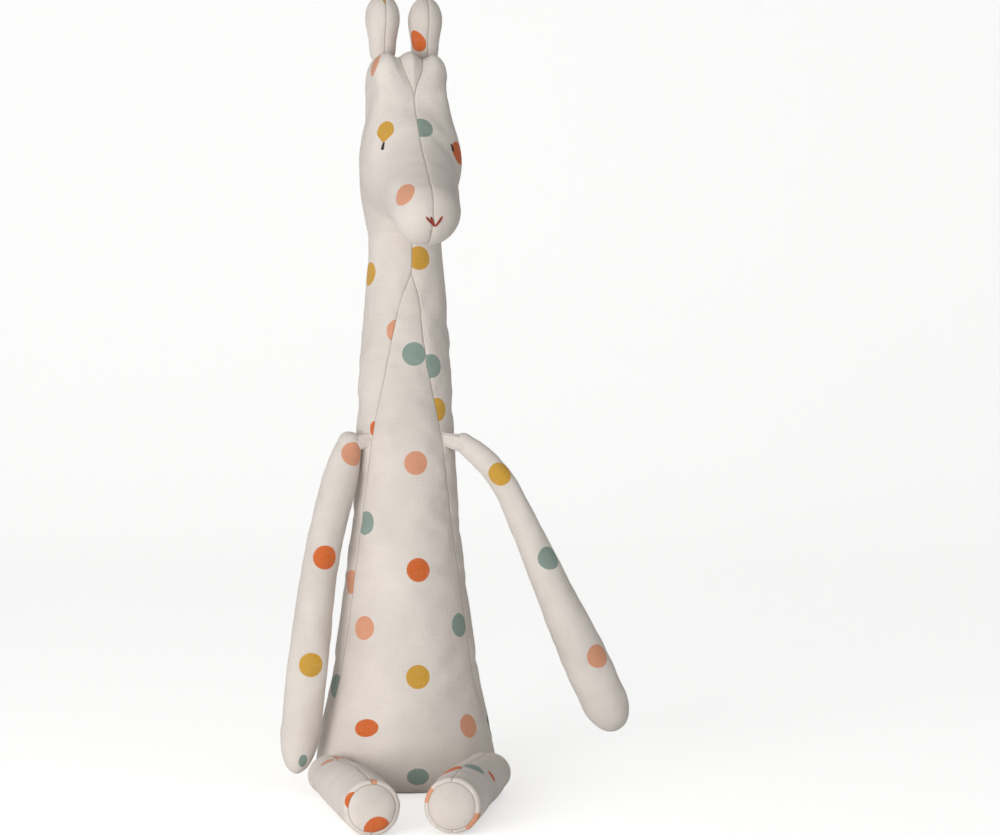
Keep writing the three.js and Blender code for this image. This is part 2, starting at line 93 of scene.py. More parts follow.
def addObject(name, data):
    made = bpy.data.objects.new(name, data)
    bpy.context.scene.collection.objects.link(made)
    return made


def makeObject(mesh):
    mesh.polygons.foreach_set("use_smooth", [True] * len(mesh.polygons))
    return addObject(mesh.name, mesh)


def makeCamera(settings):
    azimuth = math.radians(settings["azimuth"])
    right = Vector((math.cos(azimuth), math.sin(azimuth), 0))
    back = Vector((math.sin(azimuth), -math.cos(azimuth), 0))
    sideways = (settings["wide"] / 2 - settings["axisX"]) * settings["pixelSize"]
    drop = (settings["high"] / 2 - settings["horizonY"]) * settings["pixelSize"]
    data = bpy.data.cameras.new("photoCamera")
    data.sensor_width = settings["sensor"]
    data.lens = settings["sensor"] * settings["distance"] / (settings["wide"] * settings["pixelSize"])
    data.clip_start, data.clip_end = 0.05, 50
    camera = addObject("photoCamera", data)
    eye = right * sideways + back * settings["distance"] + Vector((0, 0, settings["cameraHeight"]))
    target = right * sideways + Vector((0, 0, settings["cameraHeight"] - drop))
    camera.location = eye * mm
    camera.rotation_euler = (target - eye).to_track_quat("-Z", "Y").to_euler()
    bpy.context.scene.camera = camera
    bpy.context.view_layer.update()
    return camera


camera = makeCamera(photo)


def throughPixel(x, y):  # a ray from the camera, in mm
    data = camera.data
    across = (x - photo["wide"] / 2) * data.sensor_width / photo["wide"]
    down = (y - photo["high"] / 2) * data.sensor_width / photo["wide"]
    aim = camera.matrix_world.to_3x3() @ Vector((across, -down, -data.lens))
    return camera.matrix_world.translation / mm, aim.normalized()


def linear(red, green, blue):  # a colour as the eye reads it, 0 to 255
    shares = [value / 255 for value in (red, green, blue)]
    return tuple(s / 12.92 if s <= 0.04045 else ((s + 0.055) / 1.055) ** 2.4 for s in shares) + (1,)


class Wires:  # short words for building a node tree
    def __init__(self, tree):
        self.tree = tree

    def join(self, source, target):
        self.tree.links.new(source, target)

    def node(self, kind, sources=None, **values):
        made = self.tree.nodes.new(kind)
        for key, value in values.items():
            setattr(made, key, value)
        for key, source in (sources or {}).items():
            if isinstance(source, bpy.types.NodeSocket):
                self.join(source, made.inputs[key])
            else:
                made.inputs[key].default_value = source
        return made

    def math(self, operation, *sources):
        return self.node("ShaderNodeMath", dict(enumerate(sources)), operation=operation).outputs[0]

    def blend(self, factor, a, b, how="MIX"):
        sources = {0: factor, 6: a, 7: b}
        return self.node("ShaderNodeMix", sources, data_type="RGBA", blend_type=how).outputs[2]

    def ranged(self, value, low, high, toLow=0.0, toHigh=1.0):
        sources = dict(enumerate((value, low, high, toLow, toHigh)))
        return self.node("ShaderNodeMapRange", sources, interpolation_type="SMOOTHSTEP").outputs[0]

    def noise(self, vector, scale, detail=2.0, stretch=None):
        if stretch:
            vector = self.node("ShaderNodeMapping", {"Vector": vector, "Scale": stretch}).outputs[0]
        sources = {"Vector": vector, "Scale": scale, "Detail": detail}
        return self.node("ShaderNodeTexNoise", sources).outputs[0]

    def bump(self, height, strength, distance, below=None):
        sources = {"Height": height, "Strength": strength, "Distance": distance * mm}
        if below is not None:
            sources["Normal"] = below
        return self.node("ShaderNodeBump", sources).outputs[0]


def newMaterial(name, roughness):
    material = bpy.data.materials.new(name)
    material.use_nodes = True
    shader = material.node_tree.nodes["Principled BSDF"].inputs
    shader["Roughness"].default_value = roughness
    return material, Wires(material.node_tree), shader


studio = {
    "floorSize": 6, "backdropDistance": 2.2, "bend": 0.6,  # m
    "bendSteps": 12,
    "world": 0.43,
    "keyPower": 12.8, "keySize": 1.1, "keyPlace": (-1.05, -1.45, 0.32),
    "fillPower": 4.5, "fillSize": 0.5, "fillPlace": (-0.4, -0.86, 0.05),
    "aim": (0.0, 0, 0.1),
    "paper": (246, 246, 245), "paperLift": 0.49, "paperRoughness": 0.95,
}


def paperMaterial(settings):
    # pale paper that the camera sees lifted to white, with the toy's shadow kept
    paper, wires, shader = newMaterial("backdropPaper", settings["paperRoughness"])
    shader["Base Color"].default_value = linear(*settings["paper"])
    shader["Emission Color"].default_value = (1, 1, 1, 1)
    path = wires.node("ShaderNodeLightPath").outputs
    seen = path["Is Camera Ray"]
    for ray in ("Is Glossy Ray", "Is Transmission Ray"):
        seen = wires.math("MAXIMUM", seen, path[ray])
    wires.join(wires.math("MULTIPLY", seen, settings["paperLift"]), shader["Emission Strength"])
    return paper


def makeStage(settings):
    scene = bpy.context.scene
    world = bpy.data.worlds.new("studioWorld")
    scene.world = world
    world.use_nodes = True
    sky = world.node_tree.nodes["Background"].inputs
    sky["Color"].default_value = (1, 1, 1, 1)
    sky["Strength"].default_value = settings["world"]

    half = settings["floorSize"] / 2
    far, bend = settings["backdropDistance"], settings["bend"]
    profile = [(-half, 0), (far - bend, 0)]
    for step in range(1, settings["bendSteps"] + 1):
        angle = math.radians(90 * step / settings["bendSteps"])
        profile.append((far - bend + bend * math.sin(angle), bend - bend * math.cos(angle)))
    profile.append((far, half))
    verts = [(x, y, z) for y, z in profile for x in (-half, half)]
    faces = [(2 * k, 2 * k + 1, 2 * k + 3, 2 * k + 2) for k in range(len(profile) - 1)]
    mesh = bpy.data.meshes.new("floor")
    mesh.from_pydata(verts, [], faces)
    floor = makeObject(mesh)
    mesh.materials.append(paperMaterial(settings))

    for name in ("key", "fill"):
        data = bpy.data.lights.new(name, "AREA")
        data.energy = settings[name + "Power"]
        data.size = settings[name + "Size"]
        lamp = addObject(name, data)
        lamp.location = settings[name + "Place"]
        aim = Vector(settings["aim"]) - lamp.location
        lamp.rotation_euler = aim.to_track_quat("-Z", "Y").to_euler()
    scene.view_settings.view_transform = "Standard"


makeStage(studio)
print("camera and studio made")


# shared maths

def smoothCurve(table, place):
    xs, ys = np.array(table, float).T
    last = len(xs) - 1
    before = np.maximum(np.arange(last + 1) - 1, 0)
    after = np.minimum(np.arange(last + 1) + 1, last)
    slope = (ys[after] - ys[before]) / (xs[after] - xs[before])
    place = np.clip(place, xs[0], xs[-1])
    i = np.clip(np.searchsorted(xs, place, side="right") - 1, 0, last - 1)
    span = xs[i + 1] - xs[i]
    t = (place - xs[i]) / span
    value = (2 * t**3 - 3 * t**2 + 1) * ys[i] + (3 * t**2 - 2 * t**3) * ys[i + 1]
    return value + span * ((t**3 - 2 * t**2 + t) * slope[i] + (t**3 - t**2) * slope[i + 1])


def smoothStep(value, low, high):
    t = np.clip((value - low) / (high - low), 0, 1)
    return t * t * (3 - 2 * t)


def mix(a, b, share):
    return a + (b - a) * share


def turned(points, matrix):
    array = np.array(matrix)
    return points @ array[:3, :3].T + array[:3, 3]


def crowded(count, pull):  # places from 0 to 1, closer together near both ends
    t = np.linspace(0, 1, count)
    return t - pull * np.sin(2 * np.pi * t) / (2 * np.pi)


def printed(points, reference):  # flat coordinates of a panel, in mm
    along = np.linalg.norm(np.diff(points[:, reference], axis=0), axis=-1)
    along = np.concatenate([[0], np.cumsum(along)])
    across = np.linalg.norm(np.diff(points, axis=1), axis=-1)
    across = np.concatenate([np.zeros((len(points), 1)), np.cumsum(across, axis=1)], axis=1)
    across = across - across[:, reference:reference + 1]
    return np.stack([across, np.repeat(along[:, None], points.shape[1], 1)], -1)


def panel(name, points, reference=None):
    if reference is None:
        reference = points.shape[1] // 2
    return {"name": name, "points": points, "print": printed(points, reference)}


# head and body skin: rings of rays cast from inside the form to its surface

skinShape = {
    "turn": 9.4,  # degrees that the head looks to the side
    "neckHalfWidth": 20.5, "baseHalfWidth": 54, "baseDepthShare": 0.93,
    "swellShares": [
        (0, 0.9), (0.026, 1), (0.052, 0.985), (0.09, 0.915), (0.15, 0.76), (0.232, 0.63),
        (0.339, 0.49), (0.449, 0.345), (0.58, 0.262), (0.71, 0.205), (0.826, 0.122), (0.907, 0.04),
        (1, 0),
    ],
    "gussetTipShare": 0.88,
    "gussetSpreads": [
        (0, 95), (0.08, 84), (0.18, 68), (0.36, 62), (0.46, 59), (0.6, 47), (0.667, 36),
        (0.72, 27.5), (0.785, 19), (0.835, 13), (0.88, 0),
    ],
    "cheekCentre": (0, -6.8, 22), "cheekRadii": (26.5, 27, 38),
    "crownCentre": (0, -2, 57), "crownRadii": (22.7, 23.5, 33.5), "crownSquareness": 4.4,
    "muzzleRoot": (0, -20, 21), "muzzleRootRadius": 24.8,
    "muzzleTip": (0, -58.4, -8.1), "muzzleTipRadius": 19.5,
    "headBlend": 15, "chinBlend": 3, "napeBlend": 20, "chinToNape": (-20, 8),
    "throat": (0, -24.6, -17.4),  # the line that the head's rings fan out from
    "twistLength": 50,  # of the front below the gusset's tip
    # in degrees, then mm: how far from the throat the rings' centres lie, and half the crown gusset
    "ringReach": [(0, 24.6), (30, 33.5), (60, 46.5), (90, 44), (115, 33), (127.16, 27.83)],
    "crownSpreads": [(19.5, 0), (27.8, 2.9), (55, 6.9), (90, 7.4), (130, 7), (155, 4), (168, 0)],
    "narrowestCrown": 0.02,
    "crownValley": 7.5, "valleyRise": (70, 86),  # how much deeper the crown's seams lie between the ears
    # rows and columns of the grids at full detail
    "seatRows": 200, "seatCrowding": 1.15, "neckRows": 22, "headRows": 165, "muzzleRows": 15,
    "noseRows": 24, "sideColumns": 78, "gussetColumns": 72, "crownColumns": 24, "baseRings": 30,
}
nodCentre = pivotOf("head_nod")
headPlace = Matrix.Translation(nodCentre) @ Matrix.Rotation(math.radians(skinShape["turn"]), 4, "Z")


def bodyHalfWidth(height):
    s = skinShape
    return mix(s["neckHalfWidth"], s["baseHalfWidth"], smoothCurve(s["swellShares"], height / nodCentre[2]))


def bodyDepthShare(height):
    return mix(skinShape["baseDepthShare"], 1, np.clip(height / nodCentre[2], 0, 1))


def neckField(points):
    height = points[..., 2]
    tube = np.hypot(points[..., 0], points[..., 1] / bodyDepthShare(height)) - bodyHalfWidth(height)
    dome = np.linalg.norm(points - nodCentre, axis=-1) - skinShape["neckHalfWidth"]
    return np.where(height < nodCentre[2], tube, dome)


def ellipsoidField(points, centre, radii, power):
    share = np.abs(points - np.array(centre)) / np.array(radii)
    return (np.sum(share**power, -1) ** (1 / power) - 1) * min(radii)


def taperField(points, start, end, startRadius, endRadius):
    start, along = np.array(start), np.array(end) - np.array(start)
    share = np.clip((points - start) @ along / (along @ along), 0, 1)
    nearest = start + share[..., None] * along
    return np.linalg.norm(points - nearest, axis=-1) - mix(startRadius, endRadius, share)


def smoothUnion(a, b, width):
    h = np.clip(0.5 + (b - a) / (2 * width), 0, 1)
    return mix(b, a, h) - width * h * (1 - h)


def headField(points):  # in the head's own frame
    s = skinShape
    cheeks = ellipsoidField(points, s["cheekCentre"], s["cheekRadii"], 2)
    crown = ellipsoidField(points, s["crownCentre"], s["crownRadii"], s["crownSquareness"])
    ends = s["muzzleRoot"], s["muzzleTip"]
    muzzle = taperField(points, *ends, s["muzzleRootRadius"], s["muzzleTipRadius"])
    return smoothUnion(smoothUnion(cheeks, crown, s["headBlend"]), muzzle, s["headBlend"])


def skinField(points):
    inHead = turned(points, headPlace.inverted())
    nape = smoothStep(inHead[..., 1], *skinShape["chinToNape"])
    width = mix(skinShape["chinBlend"], skinShape["napeBlend"], nape)
    return smoothUnion(neckField(points), headField(inHead), width)


def castOut(field, origins, directions, reach=120.0, stride=4.0, halvings=14):
    # the first way out of the form along each ray
    outside = np.full(directions.shape[:-1], reach)
    for far in np.arange(reach, 0, -stride):
        outside = np.where(field(origins + directions * far) >= 0, far, outside)
    inside = outside - stride
    for step in range(halvings):
        middle = (inside + outside) / 2
        within = field(origins + directions * middle[..., None]) < 0
        inside = np.where(within, middle, inside)
        outside = np.where(within, outside, middle)
    return origins + directions * inside[..., None]


def skinRings(detail):
    # every ring has a centre, a way to its front, a way to its side and a way on
    s = skinShape
    throat = np.array(s["throat"])
    turn = math.radians(s["turn"])
    tip = nodCentre[2] * s["gussetTipShare"]
    seatRows, neckRows = int(s["seatRows"] * detail), int(s["neckRows"] * detail)
    low = tip * np.linspace(0, 1, seatRows) ** s["seatCrowding"]
    heights = np.concatenate([low, np.linspace(tip, nodCentre[2] + throat[2], neckRows + 1)[1:]])
    rings = []
    for height in heights:
        twist = turn * smoothStep(height, tip - s["twistLength"], nodCentre[2] + throat[2])
        front = (math.sin(twist), -math.cos(twist), 0)
        aside = (math.cos(twist), math.sin(twist), 0)
        rings.append(((0, 0, height), front, aside, (0, 0, 1), 1.0))

    def inHead(centre, front, onward, sine=1.0):
        place = np.array(headPlace)
        vectors = [place[:3, :3] @ np.array(v, float) for v in (front, (1, 0, 0), onward)]
        rings.append((place[:3, :3] @ centre + place[:3, 3], *vectors, sine))

    lastAngle = s["ringReach"][-1][0]
    for degrees in np.linspace(0, lastAngle, int(s["headRows"] * detail) + 1)[1:]:
        angle = math.radians(degrees)
        away = np.array([0, math.cos(angle), math.sin(angle)])
        centre = throat + away * smoothCurve(s["ringReach"], degrees)
        inHead(centre, -away, (0, -math.sin(angle), math.cos(angle)))
    start, end = centre, np.array(s["muzzleTip"])
    onward = (0, -math.sin(angle), math.cos(angle))
    for share in np.linspace(0, 1, int(s["muzzleRows"] * detail) + 1)[1:]:
        inHead(mix(start, end, share), -away, onward)
    for degrees in np.linspace(90, 0, int(s["noseRows"] * detail) + 2)[1:]:
        inHead(end, -away, onward, math.sin(math.radians(degrees)))
    return rings, seatRows


def ringPoints(rings, spreads):  # spreads in radians from the front, one row for each ring
    centres, fronts, sides, onwards, sine = (np.array(part, float)[:, None] for part in zip(*rings))
    sine = sine[..., None]
    around = spreads[..., None]
    across = fronts * np.cos(around) + sides * np.sin(around)
    directions = across * sine + onwards * np.sqrt(np.maximum(0, 1 - sine**2))
    return castOut(skinField, centres, directions)


def crownHalfSpreads(rings, halvings=22):  # half spread of the crown gusset on each ring, from the back
    s = skinShape
    toHead = headPlace.inverted()
    low, high = np.full(len(rings), math.pi / 2), np.full(len(rings), math.pi)

    def overhang(spread):
        points = turned(ringPoints(rings, spread[:, None])[:, 0], toHead)
        _, y, z = (points - np.array(s["crownCentre"])).T
        return points[:, 0] - smoothCurve(s["crownSpreads"], np.degrees(np.arctan2(z, -y)))

    for step in range(halvings):
        middle = (low + high) / 2
        outer = overhang(middle) > 1e-4
        low, high = np.where(outer, middle, low), np.where(outer, high, middle)
    half = math.pi - high
    half[half < s["narrowestCrown"]] = 0
    return half


def oddCount(columns, detail):
    return int(columns * detail) // 2 * 2 + 1


def skinPanels(detail, pull=0.75):
    s = skinShape
    rings, seatRows = skinRings(detail)
    heights = np.array([ring[0][2] for ring in rings])
    front = np.zeros(len(rings))
    low = slice(0, seatRows)
    share = heights[low] / nodCentre[2]
    front[low] = np.radians(smoothCurve(s["gussetSpreads"], share))
    front[seatRows - 1] = 0
    crown = crownHalfSpreads(rings)
    crowned = np.nonzero(crown)[0]
    crownRows = slice(crowned[0] - 1, crowned[-1] + 2)
    sideAt = crowded(int(s["sideColumns"] * detail), pull)
    gussetAt = crowded(oddCount(s["gussetColumns"], detail), pull) * 2 - 1
    crownAt = crowded(max(5, oddCount(s["crownColumns"], detail)), pull) * 2 - 1

    panels = []
    for sign, name in ((-1, "left"), (1, "right")):
        spreads = front[:, None] + (math.pi - crown - front)[:, None] * sideAt
        panels.append(panel(name, ringPoints(rings, sign * spreads)))
    gusset = ringPoints(rings[low], front[low, None] * gussetAt)
    panels.append(panel("front", gusset))
    panels.append(panel("crown", ringPoints(rings[crownRows], math.pi + crown[crownRows, None] * crownAt)))

    first = [panels[0]["points"][0][::-1], gusset[0][1:], panels[1]["points"][0][1:]]
    edge = np.concatenate(first)
    shares = np.linspace(1, 0, int(s["baseRings"] * detail) + 2)[:, None, None]
    panels.append(panel("base", edge * shares))
    return panels


# cloth: panels welded into one closed form, its seams drawn in

sewing = {
    "grooveDepth": 0.5, "grooveWidth": 0.7,
    "drawDepth": 0.45, "drawWidth": 5,
    "puckerHeight": 0.16, "puckerLength": 6, "puckerReach": 7,
    "lumpHeight": 0.6, "lumpLength": 38,
}


def readAll(items, field, width=1, kind=float):
    flat = np.empty(len(items) * width, kind)
    items.foreach_get(field, flat)
    return flat.reshape(-1, width) if width > 1 else flat


def meshPoints(mesh):
    return readAll(mesh.vertices, "co", 3) / mm


def setPoints(mesh, points):
    mesh.vertices.foreach_set("co", (points * mm).astype(np.float32).ravel())
    mesh.update()


def cornerPanels(mesh):  # the number of the panel that each corner belongs to
    owner = readAll(mesh.attributes["panel"].data, "value", kind=np.int32)
    return np.repeat(owner, readAll(mesh.polygons, "loop_total", kind=int))


def weldPanels(name, panels):
    points, prints, faces, ids = [], [], [], []
    start = 0
    for number, piece in enumerate(panels):
        rows, columns = piece["points"].shape[:2]
        index = start + np.arange(rows * columns).reshape(rows, columns)
        corners = (index[:-1, :-1], index[:-1, 1:], index[1:, 1:], index[1:, :-1])
        quads = np.stack(corners, -1).reshape(-1, 4)
        points.append(piece["points"].reshape(-1, 3))
        prints.append(piece["print"].reshape(-1, 2))
        faces.append(quads)
        ids.append(np.full(len(quads), number, np.int32))
        start += rows * columns
    mesh = bpy.data.meshes.new(name)
    mesh.from_pydata((np.concatenate(points) * mm).tolist(), [], np.concatenate(faces).tolist())
    vertex = readAll(mesh.loops, "vertex_index", kind=int)
    layer = mesh.uv_layers.new(name="print")
    layer.data.foreach_set("uv", np.concatenate(prints)[vertex].astype(np.float32).ravel())
    mesh.attributes.new("panel", "INT", "FACE").data.foreach_set("value", np.concatenate(ids))
    weld(mesh)
    return mesh


def weld(mesh, closerThan=1e-6, flatterThan=1e-8):  # m
    work = bmesh.new()
    work.from_mesh(mesh)
    bmesh.ops.remove_doubles(work, verts=work.verts, dist=closerThan)
    bmesh.ops.dissolve_degenerate(work, dist=flatterThan, edges=work.edges)
    bmesh.ops.recalc_face_normals(work, faces=work.faces)
    work.to_mesh(mesh)
    work.free()


def seamVertices(mesh):  # where two panels meet
    corners = cornerPanels(mesh)
    edges = readAll(mesh.loops, "edge_index", kind=int)
    low, high = np.full(len(mesh.edges), corners.max() + 1), np.full(len(mesh.edges), -1)
    np.minimum.at(low, edges, corners)
    np.maximum.at(high, edges, corners)
    return np.unique(readAll(mesh.edges, "vertices", 2, int)[low != high])


def treeOf(points):
    tree = KDTree(len(points))
    for number, point in enumerate(points):
        tree.insert(point, number)
    tree.balance()
    return tree


def lump(point, length, seed):
    return noise.noise(Vector(point) / length + Vector((seed, 3 * seed, 7 * seed)))


def drawInSeams(mesh, settings, seed, deeper=None):
    points, normals = meshPoints(mesh), readAll(mesh.vertices, "normal", 3)
    factors = np.ones(len(points)) if deeper is None else deeper(points)
    tree = treeOf(points[seamVertices(mesh)])
    lifts, gaps = np.zeros(len(points)), np.zeros(len(points))
    for number, point in enumerate(points):
        near, _, gap = tree.find(point)
        gaps[number] = gap
        groove = settings["grooveDepth"] * math.exp(-gap / settings["grooveWidth"])
        draw = settings["drawDepth"] * factors[number] * math.exp(-((gap / settings["drawWidth"]) ** 2))
        fade = math.exp(-gap / settings["puckerReach"])
        pucker = settings["puckerHeight"] * fade * lump(near, settings["puckerLength"], seed)
        swell = settings["lumpHeight"] * lump(point, settings["lumpLength"], seed + 11)
        lifts[number] = pucker + swell - groove - draw
    setPoints(mesh, points + normals * lifts[:, None])
    keepSeamGaps(mesh, gaps)


def keepSeamGaps(mesh, gaps):
    layer = mesh.attributes.new("seamGap", "FLOAT", "POINT")
    layer.data.foreach_set("value", gaps.astype(np.float32))


# dots: round patches of print, placed on a panel and cut off at its seams

dots = {
    "radius": 7.05, "columnPitch": 31, "dotPitch": 64,  # mm
    "colours": {"sage": (136, 156, 146), "salmon": (220, 154, 120),
                "orange": (212, 100, 30), "mustard": (208, 158, 50)},
    "clearance": 25, "farthest": 40,  # mm
    "firstDot": (5, 11), "panelShift": (17, 23), "columns": range(-8, 9), "rows": range(-8, 16),
    "overEdge": 0.7,  # radii that a dot's middle may lie off its panel
    "outOfSight": -0.12,
}
dotNames = list(dots["colours"])
# pixels that the photo doesn't show
hiddenBox = {"skin": (436, 318, 520, 835), "arms": (480, 470, 530, 640)}


def ontoPixel(point):  # where a point in mm lands in the photo
    view = turned(point[None] * mm, camera.matrix_world.inverted())[0]
    scale = camera.data.lens / camera.data.sensor_width * photo["wide"] / -view[2]
    return photo["wide"] / 2 + view[0] * scale, photo["high"] / 2 - view[1] * scale


def underPixel(tree, x, y, past=0):
    start, aim = throughPixel(x, y)
    hit = tree.ray_cast(Vector(start), aim)[0]
    if hit is None:
        return None
    return np.array(tree.find_nearest(hit + aim * past)[0])


def surfaceTree(mesh):
    polygons = [list(face.vertices) for face in mesh.polygons]
    return BVHTree.FromPolygons([tuple(point) for point in meshPoints(mesh)], polygons)


def dotsInPhoto(tree, marks):
    # a mark may lie some mm past the silhouette, or be uneven along a line to its tip
    found = []
    for panelName, colour, x, y, *more in marks:
        extra = more[0] if more else {}
        place = underPixel(tree, x, y, extra.get("past", 0))
        if place is None:
            print("no cloth under the dot at", x, y)
            continue
        shape = None
        if "tip" in extra:
            shape = {**extra, "along": underPixel(tree, *extra["tip"]) - place}
        found.append((panelName, place, dotNames.index(colour), shape))
    return found


def dotsInRows(panels, taken, tree, hidden):
    # the cloth's own rows of dots, where the photo doesn't show the cloth
    eye = np.array(camera.matrix_world.translation) / mm
    found = []
    for number, piece in enumerate(panels):
        flat = piece["print"].reshape(-1, 2)
        places = piece["points"].reshape(-1, 3)
        low, high = flat.min(0) - dots["radius"], flat.max(0) + dots["radius"]
        shift = np.array(dots["firstDot"]) + np.array(dots["panelShift"]) * number
        for column, row in itertools.product(dots["columns"], dots["rows"]):
            across = shift[0] + column * dots["columnPitch"]
            along = shift[1] + (row + 0.5 * (column % 2)) * dots["dotPitch"]
            if not (low[0] < across < high[0] and low[1] < along < high[1]):
                continue
            gaps = np.linalg.norm(flat - (across, along), axis=1)
            near = np.argmin(gaps)
            if gaps[near] > dots["overEdge"] * dots["radius"]:
                continue
            place = places[near]
            if any(np.linalg.norm(place - other[1]) < dots["clearance"] for other in taken + found):
                continue
            x, y = ontoPixel(place)
            away = eye - place
            normal = np.array(tree.find_nearest(Vector(place))[1])
            faces = normal @ away / np.linalg.norm(away)
            behind = hidden and hidden[0] < x < hidden[2] and hidden[1] < y < hidden[3]
            if behind or faces <= dots["outOfSight"]:
                found.append((piece["name"], place, (row + 2 * column) % len(dotNames), None))
    return found


def unevenGap(offsets, gap, shape):  # for a dot that is smaller, narrower or pointed at its tip
    along = offsets @ shape["along"] / np.linalg.norm(shape["along"])
    across = np.sqrt(np.maximum(gap**2 - along**2, 0))
    pointed = shape.get("taper", 0) * np.maximum(along / dots["radius"], 0) ** 2
    return np.hypot(across * (shape.get("narrow", 1) + pointed), along) / shape.get("size", 1)


def printDots(mesh, panels, marks, hidden=None):
    # each corner keeps its distance to the nearest dot of its own panel, and that dot's colour
    points = meshPoints(mesh)
    tree = surfaceTree(mesh)
    placed = dotsInPhoto(tree, marks)
    placed += dotsInRows(panels, placed, tree, hidden)
    corners = cornerPanels(mesh)
    vertex = readAll(mesh.loops, "vertex_index", kind=int)
    values = np.zeros((len(vertex), 3), np.float32)
    values[:, 0] = dots["farthest"]
    names = [piece["name"] for piece in panels]
    for panelName, place, colour, shape in placed:
        number = names.index(panelName)
        gap = np.linalg.norm(points - place, axis=1)
        if shape:
            gap = unevenGap(points - place, gap, shape)
        gap = gap[vertex]
        nearer = (corners == number) & (gap < values[:, 0])
        values[nearer, 0] = gap[nearer]
        values[nearer, 1] = colour
    layer = mesh.attributes.new("dot", "FLOAT_VECTOR", "CORNER")
    layer.data.foreach_set("vector", values.ravel())
    return placed


# cloth material

linen = {
    "base": (231, 222, 214), "shade": (216, 207, 199), "fleck": (192, 179, 164), "fleckShare": 0.7,
    "mottleScale": 22, "mottleRange": (0.3, 0.75), "fleckRange": (1.12, 1.42),
    "threadPitch": 0.62, "threadWander": 1.6, "threadWanderScale": 0.35,  # mm, radians
    "slubLong": 0.09, "slubThick": 2.4, "creaseScale": 55,
    "weaveBump": 0.45, "slubBump": 0.8, "creaseBump": 0.35,
    "weaveDepth": 0.15, "slubDepth": 0.25, "creaseDepth": 1.5,  # mm
    "dotEdge": 0.28, "dotWander": 0.45, "dotWanderScale": 1.1, "rimOnThreads": 0.09,
    "wearOnThreads": 0.08, "wearRange": (0.75, 1.35, 0.0, 0.1),
    # painted shade along the seams: its colour, and the seam gaps (mm) over which it fades out
    "seamShadeColour": (200, 191, 180), "seamShadeFade": (0.05, 0.5, 0.75, 0.0),
    "roughness": 0.93, "specular": 0.25, "sheen": 0.12, "sheenRoughness": 0.5,
}


def dotColours(wires, number):
    ramp = wires.node("ShaderNodeValToRGB", {0: wires.math("DIVIDE", number, len(dotNames))})
    ramp.color_ramp.interpolation = "CONSTANT"
    stops = ramp.color_ramp.elements
    for k, colour in enumerate(dots["colours"].values()):
        stop = stops[k] if k < 2 else stops.new(k / len(dotNames))
        stop.position = max(0, (k - 0.5) / len(dotNames))
        stop.color = linear(*colour)
    return ramp.outputs[0]


def clothMaterial(settings):
    s = settings
    material, wires, shader = newMaterial("spottedLinen", s["roughness"])
    flat = wires.node("ShaderNodeUVMap", uv_map="print").outputs[0]
    place = wires.node("ShaderNodeTexCoord").outputs["Object"]
    across, along = wires.node("ShaderNodeSeparateXYZ", {0: flat}).outputs[:2]

    # weave: two sets of threads, each thread a little thicker or thinner along its way
    turn = 2 * math.pi / s["threadPitch"]
    wander = wires.math("MULTIPLY", wires.noise(flat, s["threadWanderScale"]), s["threadWander"])
    angles = [wires.math("MULTIPLY_ADD", way, turn, wander) for way in (across, along)]
    weave = wires.math("MULTIPLY", *(wires.math("SINE", angle) for angle in angles))
    slubAcross = wires.noise(flat, 1, 3, (s["slubThick"], s["slubLong"], 1))
    slubAlong = wires.noise(flat, 1, 3, (s["slubLong"], s["slubThick"], 1))
    slub = wires.math("ADD", slubAcross, slubAlong)
    creases = wires.noise(place, s["creaseScale"], 3)

    # colour: pale threads, darker flecks, soft mottling
    mottle = wires.ranged(wires.noise(place, s["mottleScale"], 3), *s["mottleRange"])
    ground = wires.blend(mottle, linear(*s["base"]), linear(*s["shade"]))
    flecked = wires.math("MULTIPLY", wires.ranged(slub, *s["fleckRange"]), s["fleckShare"])
    ground = wires.blend(flecked, ground, linear(*s["fleck"]))

    # printed dots, their rims caught on single threads
    dot = wires.node("ShaderNodeAttribute", attribute_name="dot").outputs["Vector"]
    gap, number = wires.node("ShaderNodeSeparateXYZ", {0: dot}).outputs[:2]
    rim = wires.math("MULTIPLY_ADD", wires.noise(flat, s["dotWanderScale"], 2), s["dotWander"], gap)
    rim = wires.math("MULTIPLY_ADD", weave, s["rimOnThreads"], rim)
    edge = dots["radius"] + s["dotWander"] / 2
    inDot = wires.ranged(rim, edge - s["dotEdge"], edge + s["dotEdge"], 1.0, 0.0)
    wear = wires.math("ADD", slub, wires.math("MULTIPLY", weave, s["wearOnThreads"]))
    ink = wires.blend(wires.ranged(wear, *s["wearRange"]), dotColours(wires, number), linear(*s["base"]))
    colour = wires.blend(inDot, ground, ink)

    # seams: painted shade, a thin dark line where the fold closes
    seam = wires.node("ShaderNodeAttribute", attribute_name="seamGap").outputs["Fac"]
    line = wires.ranged(seam, *s["seamShadeFade"])
    colour = wires.blend(line, colour, linear(*s["seamShadeColour"]), "MULTIPLY")
    wires.join(colour, shader["Base Color"])
    shader["Specular IOR Level"].default_value = s["specular"]
    shader["Sheen Weight"].default_value = s["sheen"]
    shader["Sheen Roughness"].default_value = s["sheenRoughness"]
    relief = None
    for name, height in (("weave", weave), ("slub", slub), ("crease", creases)):
        relief = wires.bump(height, s[name + "Bump"], s[name + "Depth"], relief)
    wires.join(relief, shader["Normal"])
    return material


spottedLinen = clothMaterial(linen)
print("cloth material made")


# one stuffed piece of cloth

settling = {
    "detail": 0.3, "frames": 16, "pressure": 4, "shrink": -0.03, "mass": 0.15, "quality": 5,
    "stiffness": 12, "bending": 0.3,
    "broad": 15, "cap": 1.1, "reach": 3.2,  # mm
    "keepBroad": 0.2, "gain": 0.5, "neighbours": 8,
}


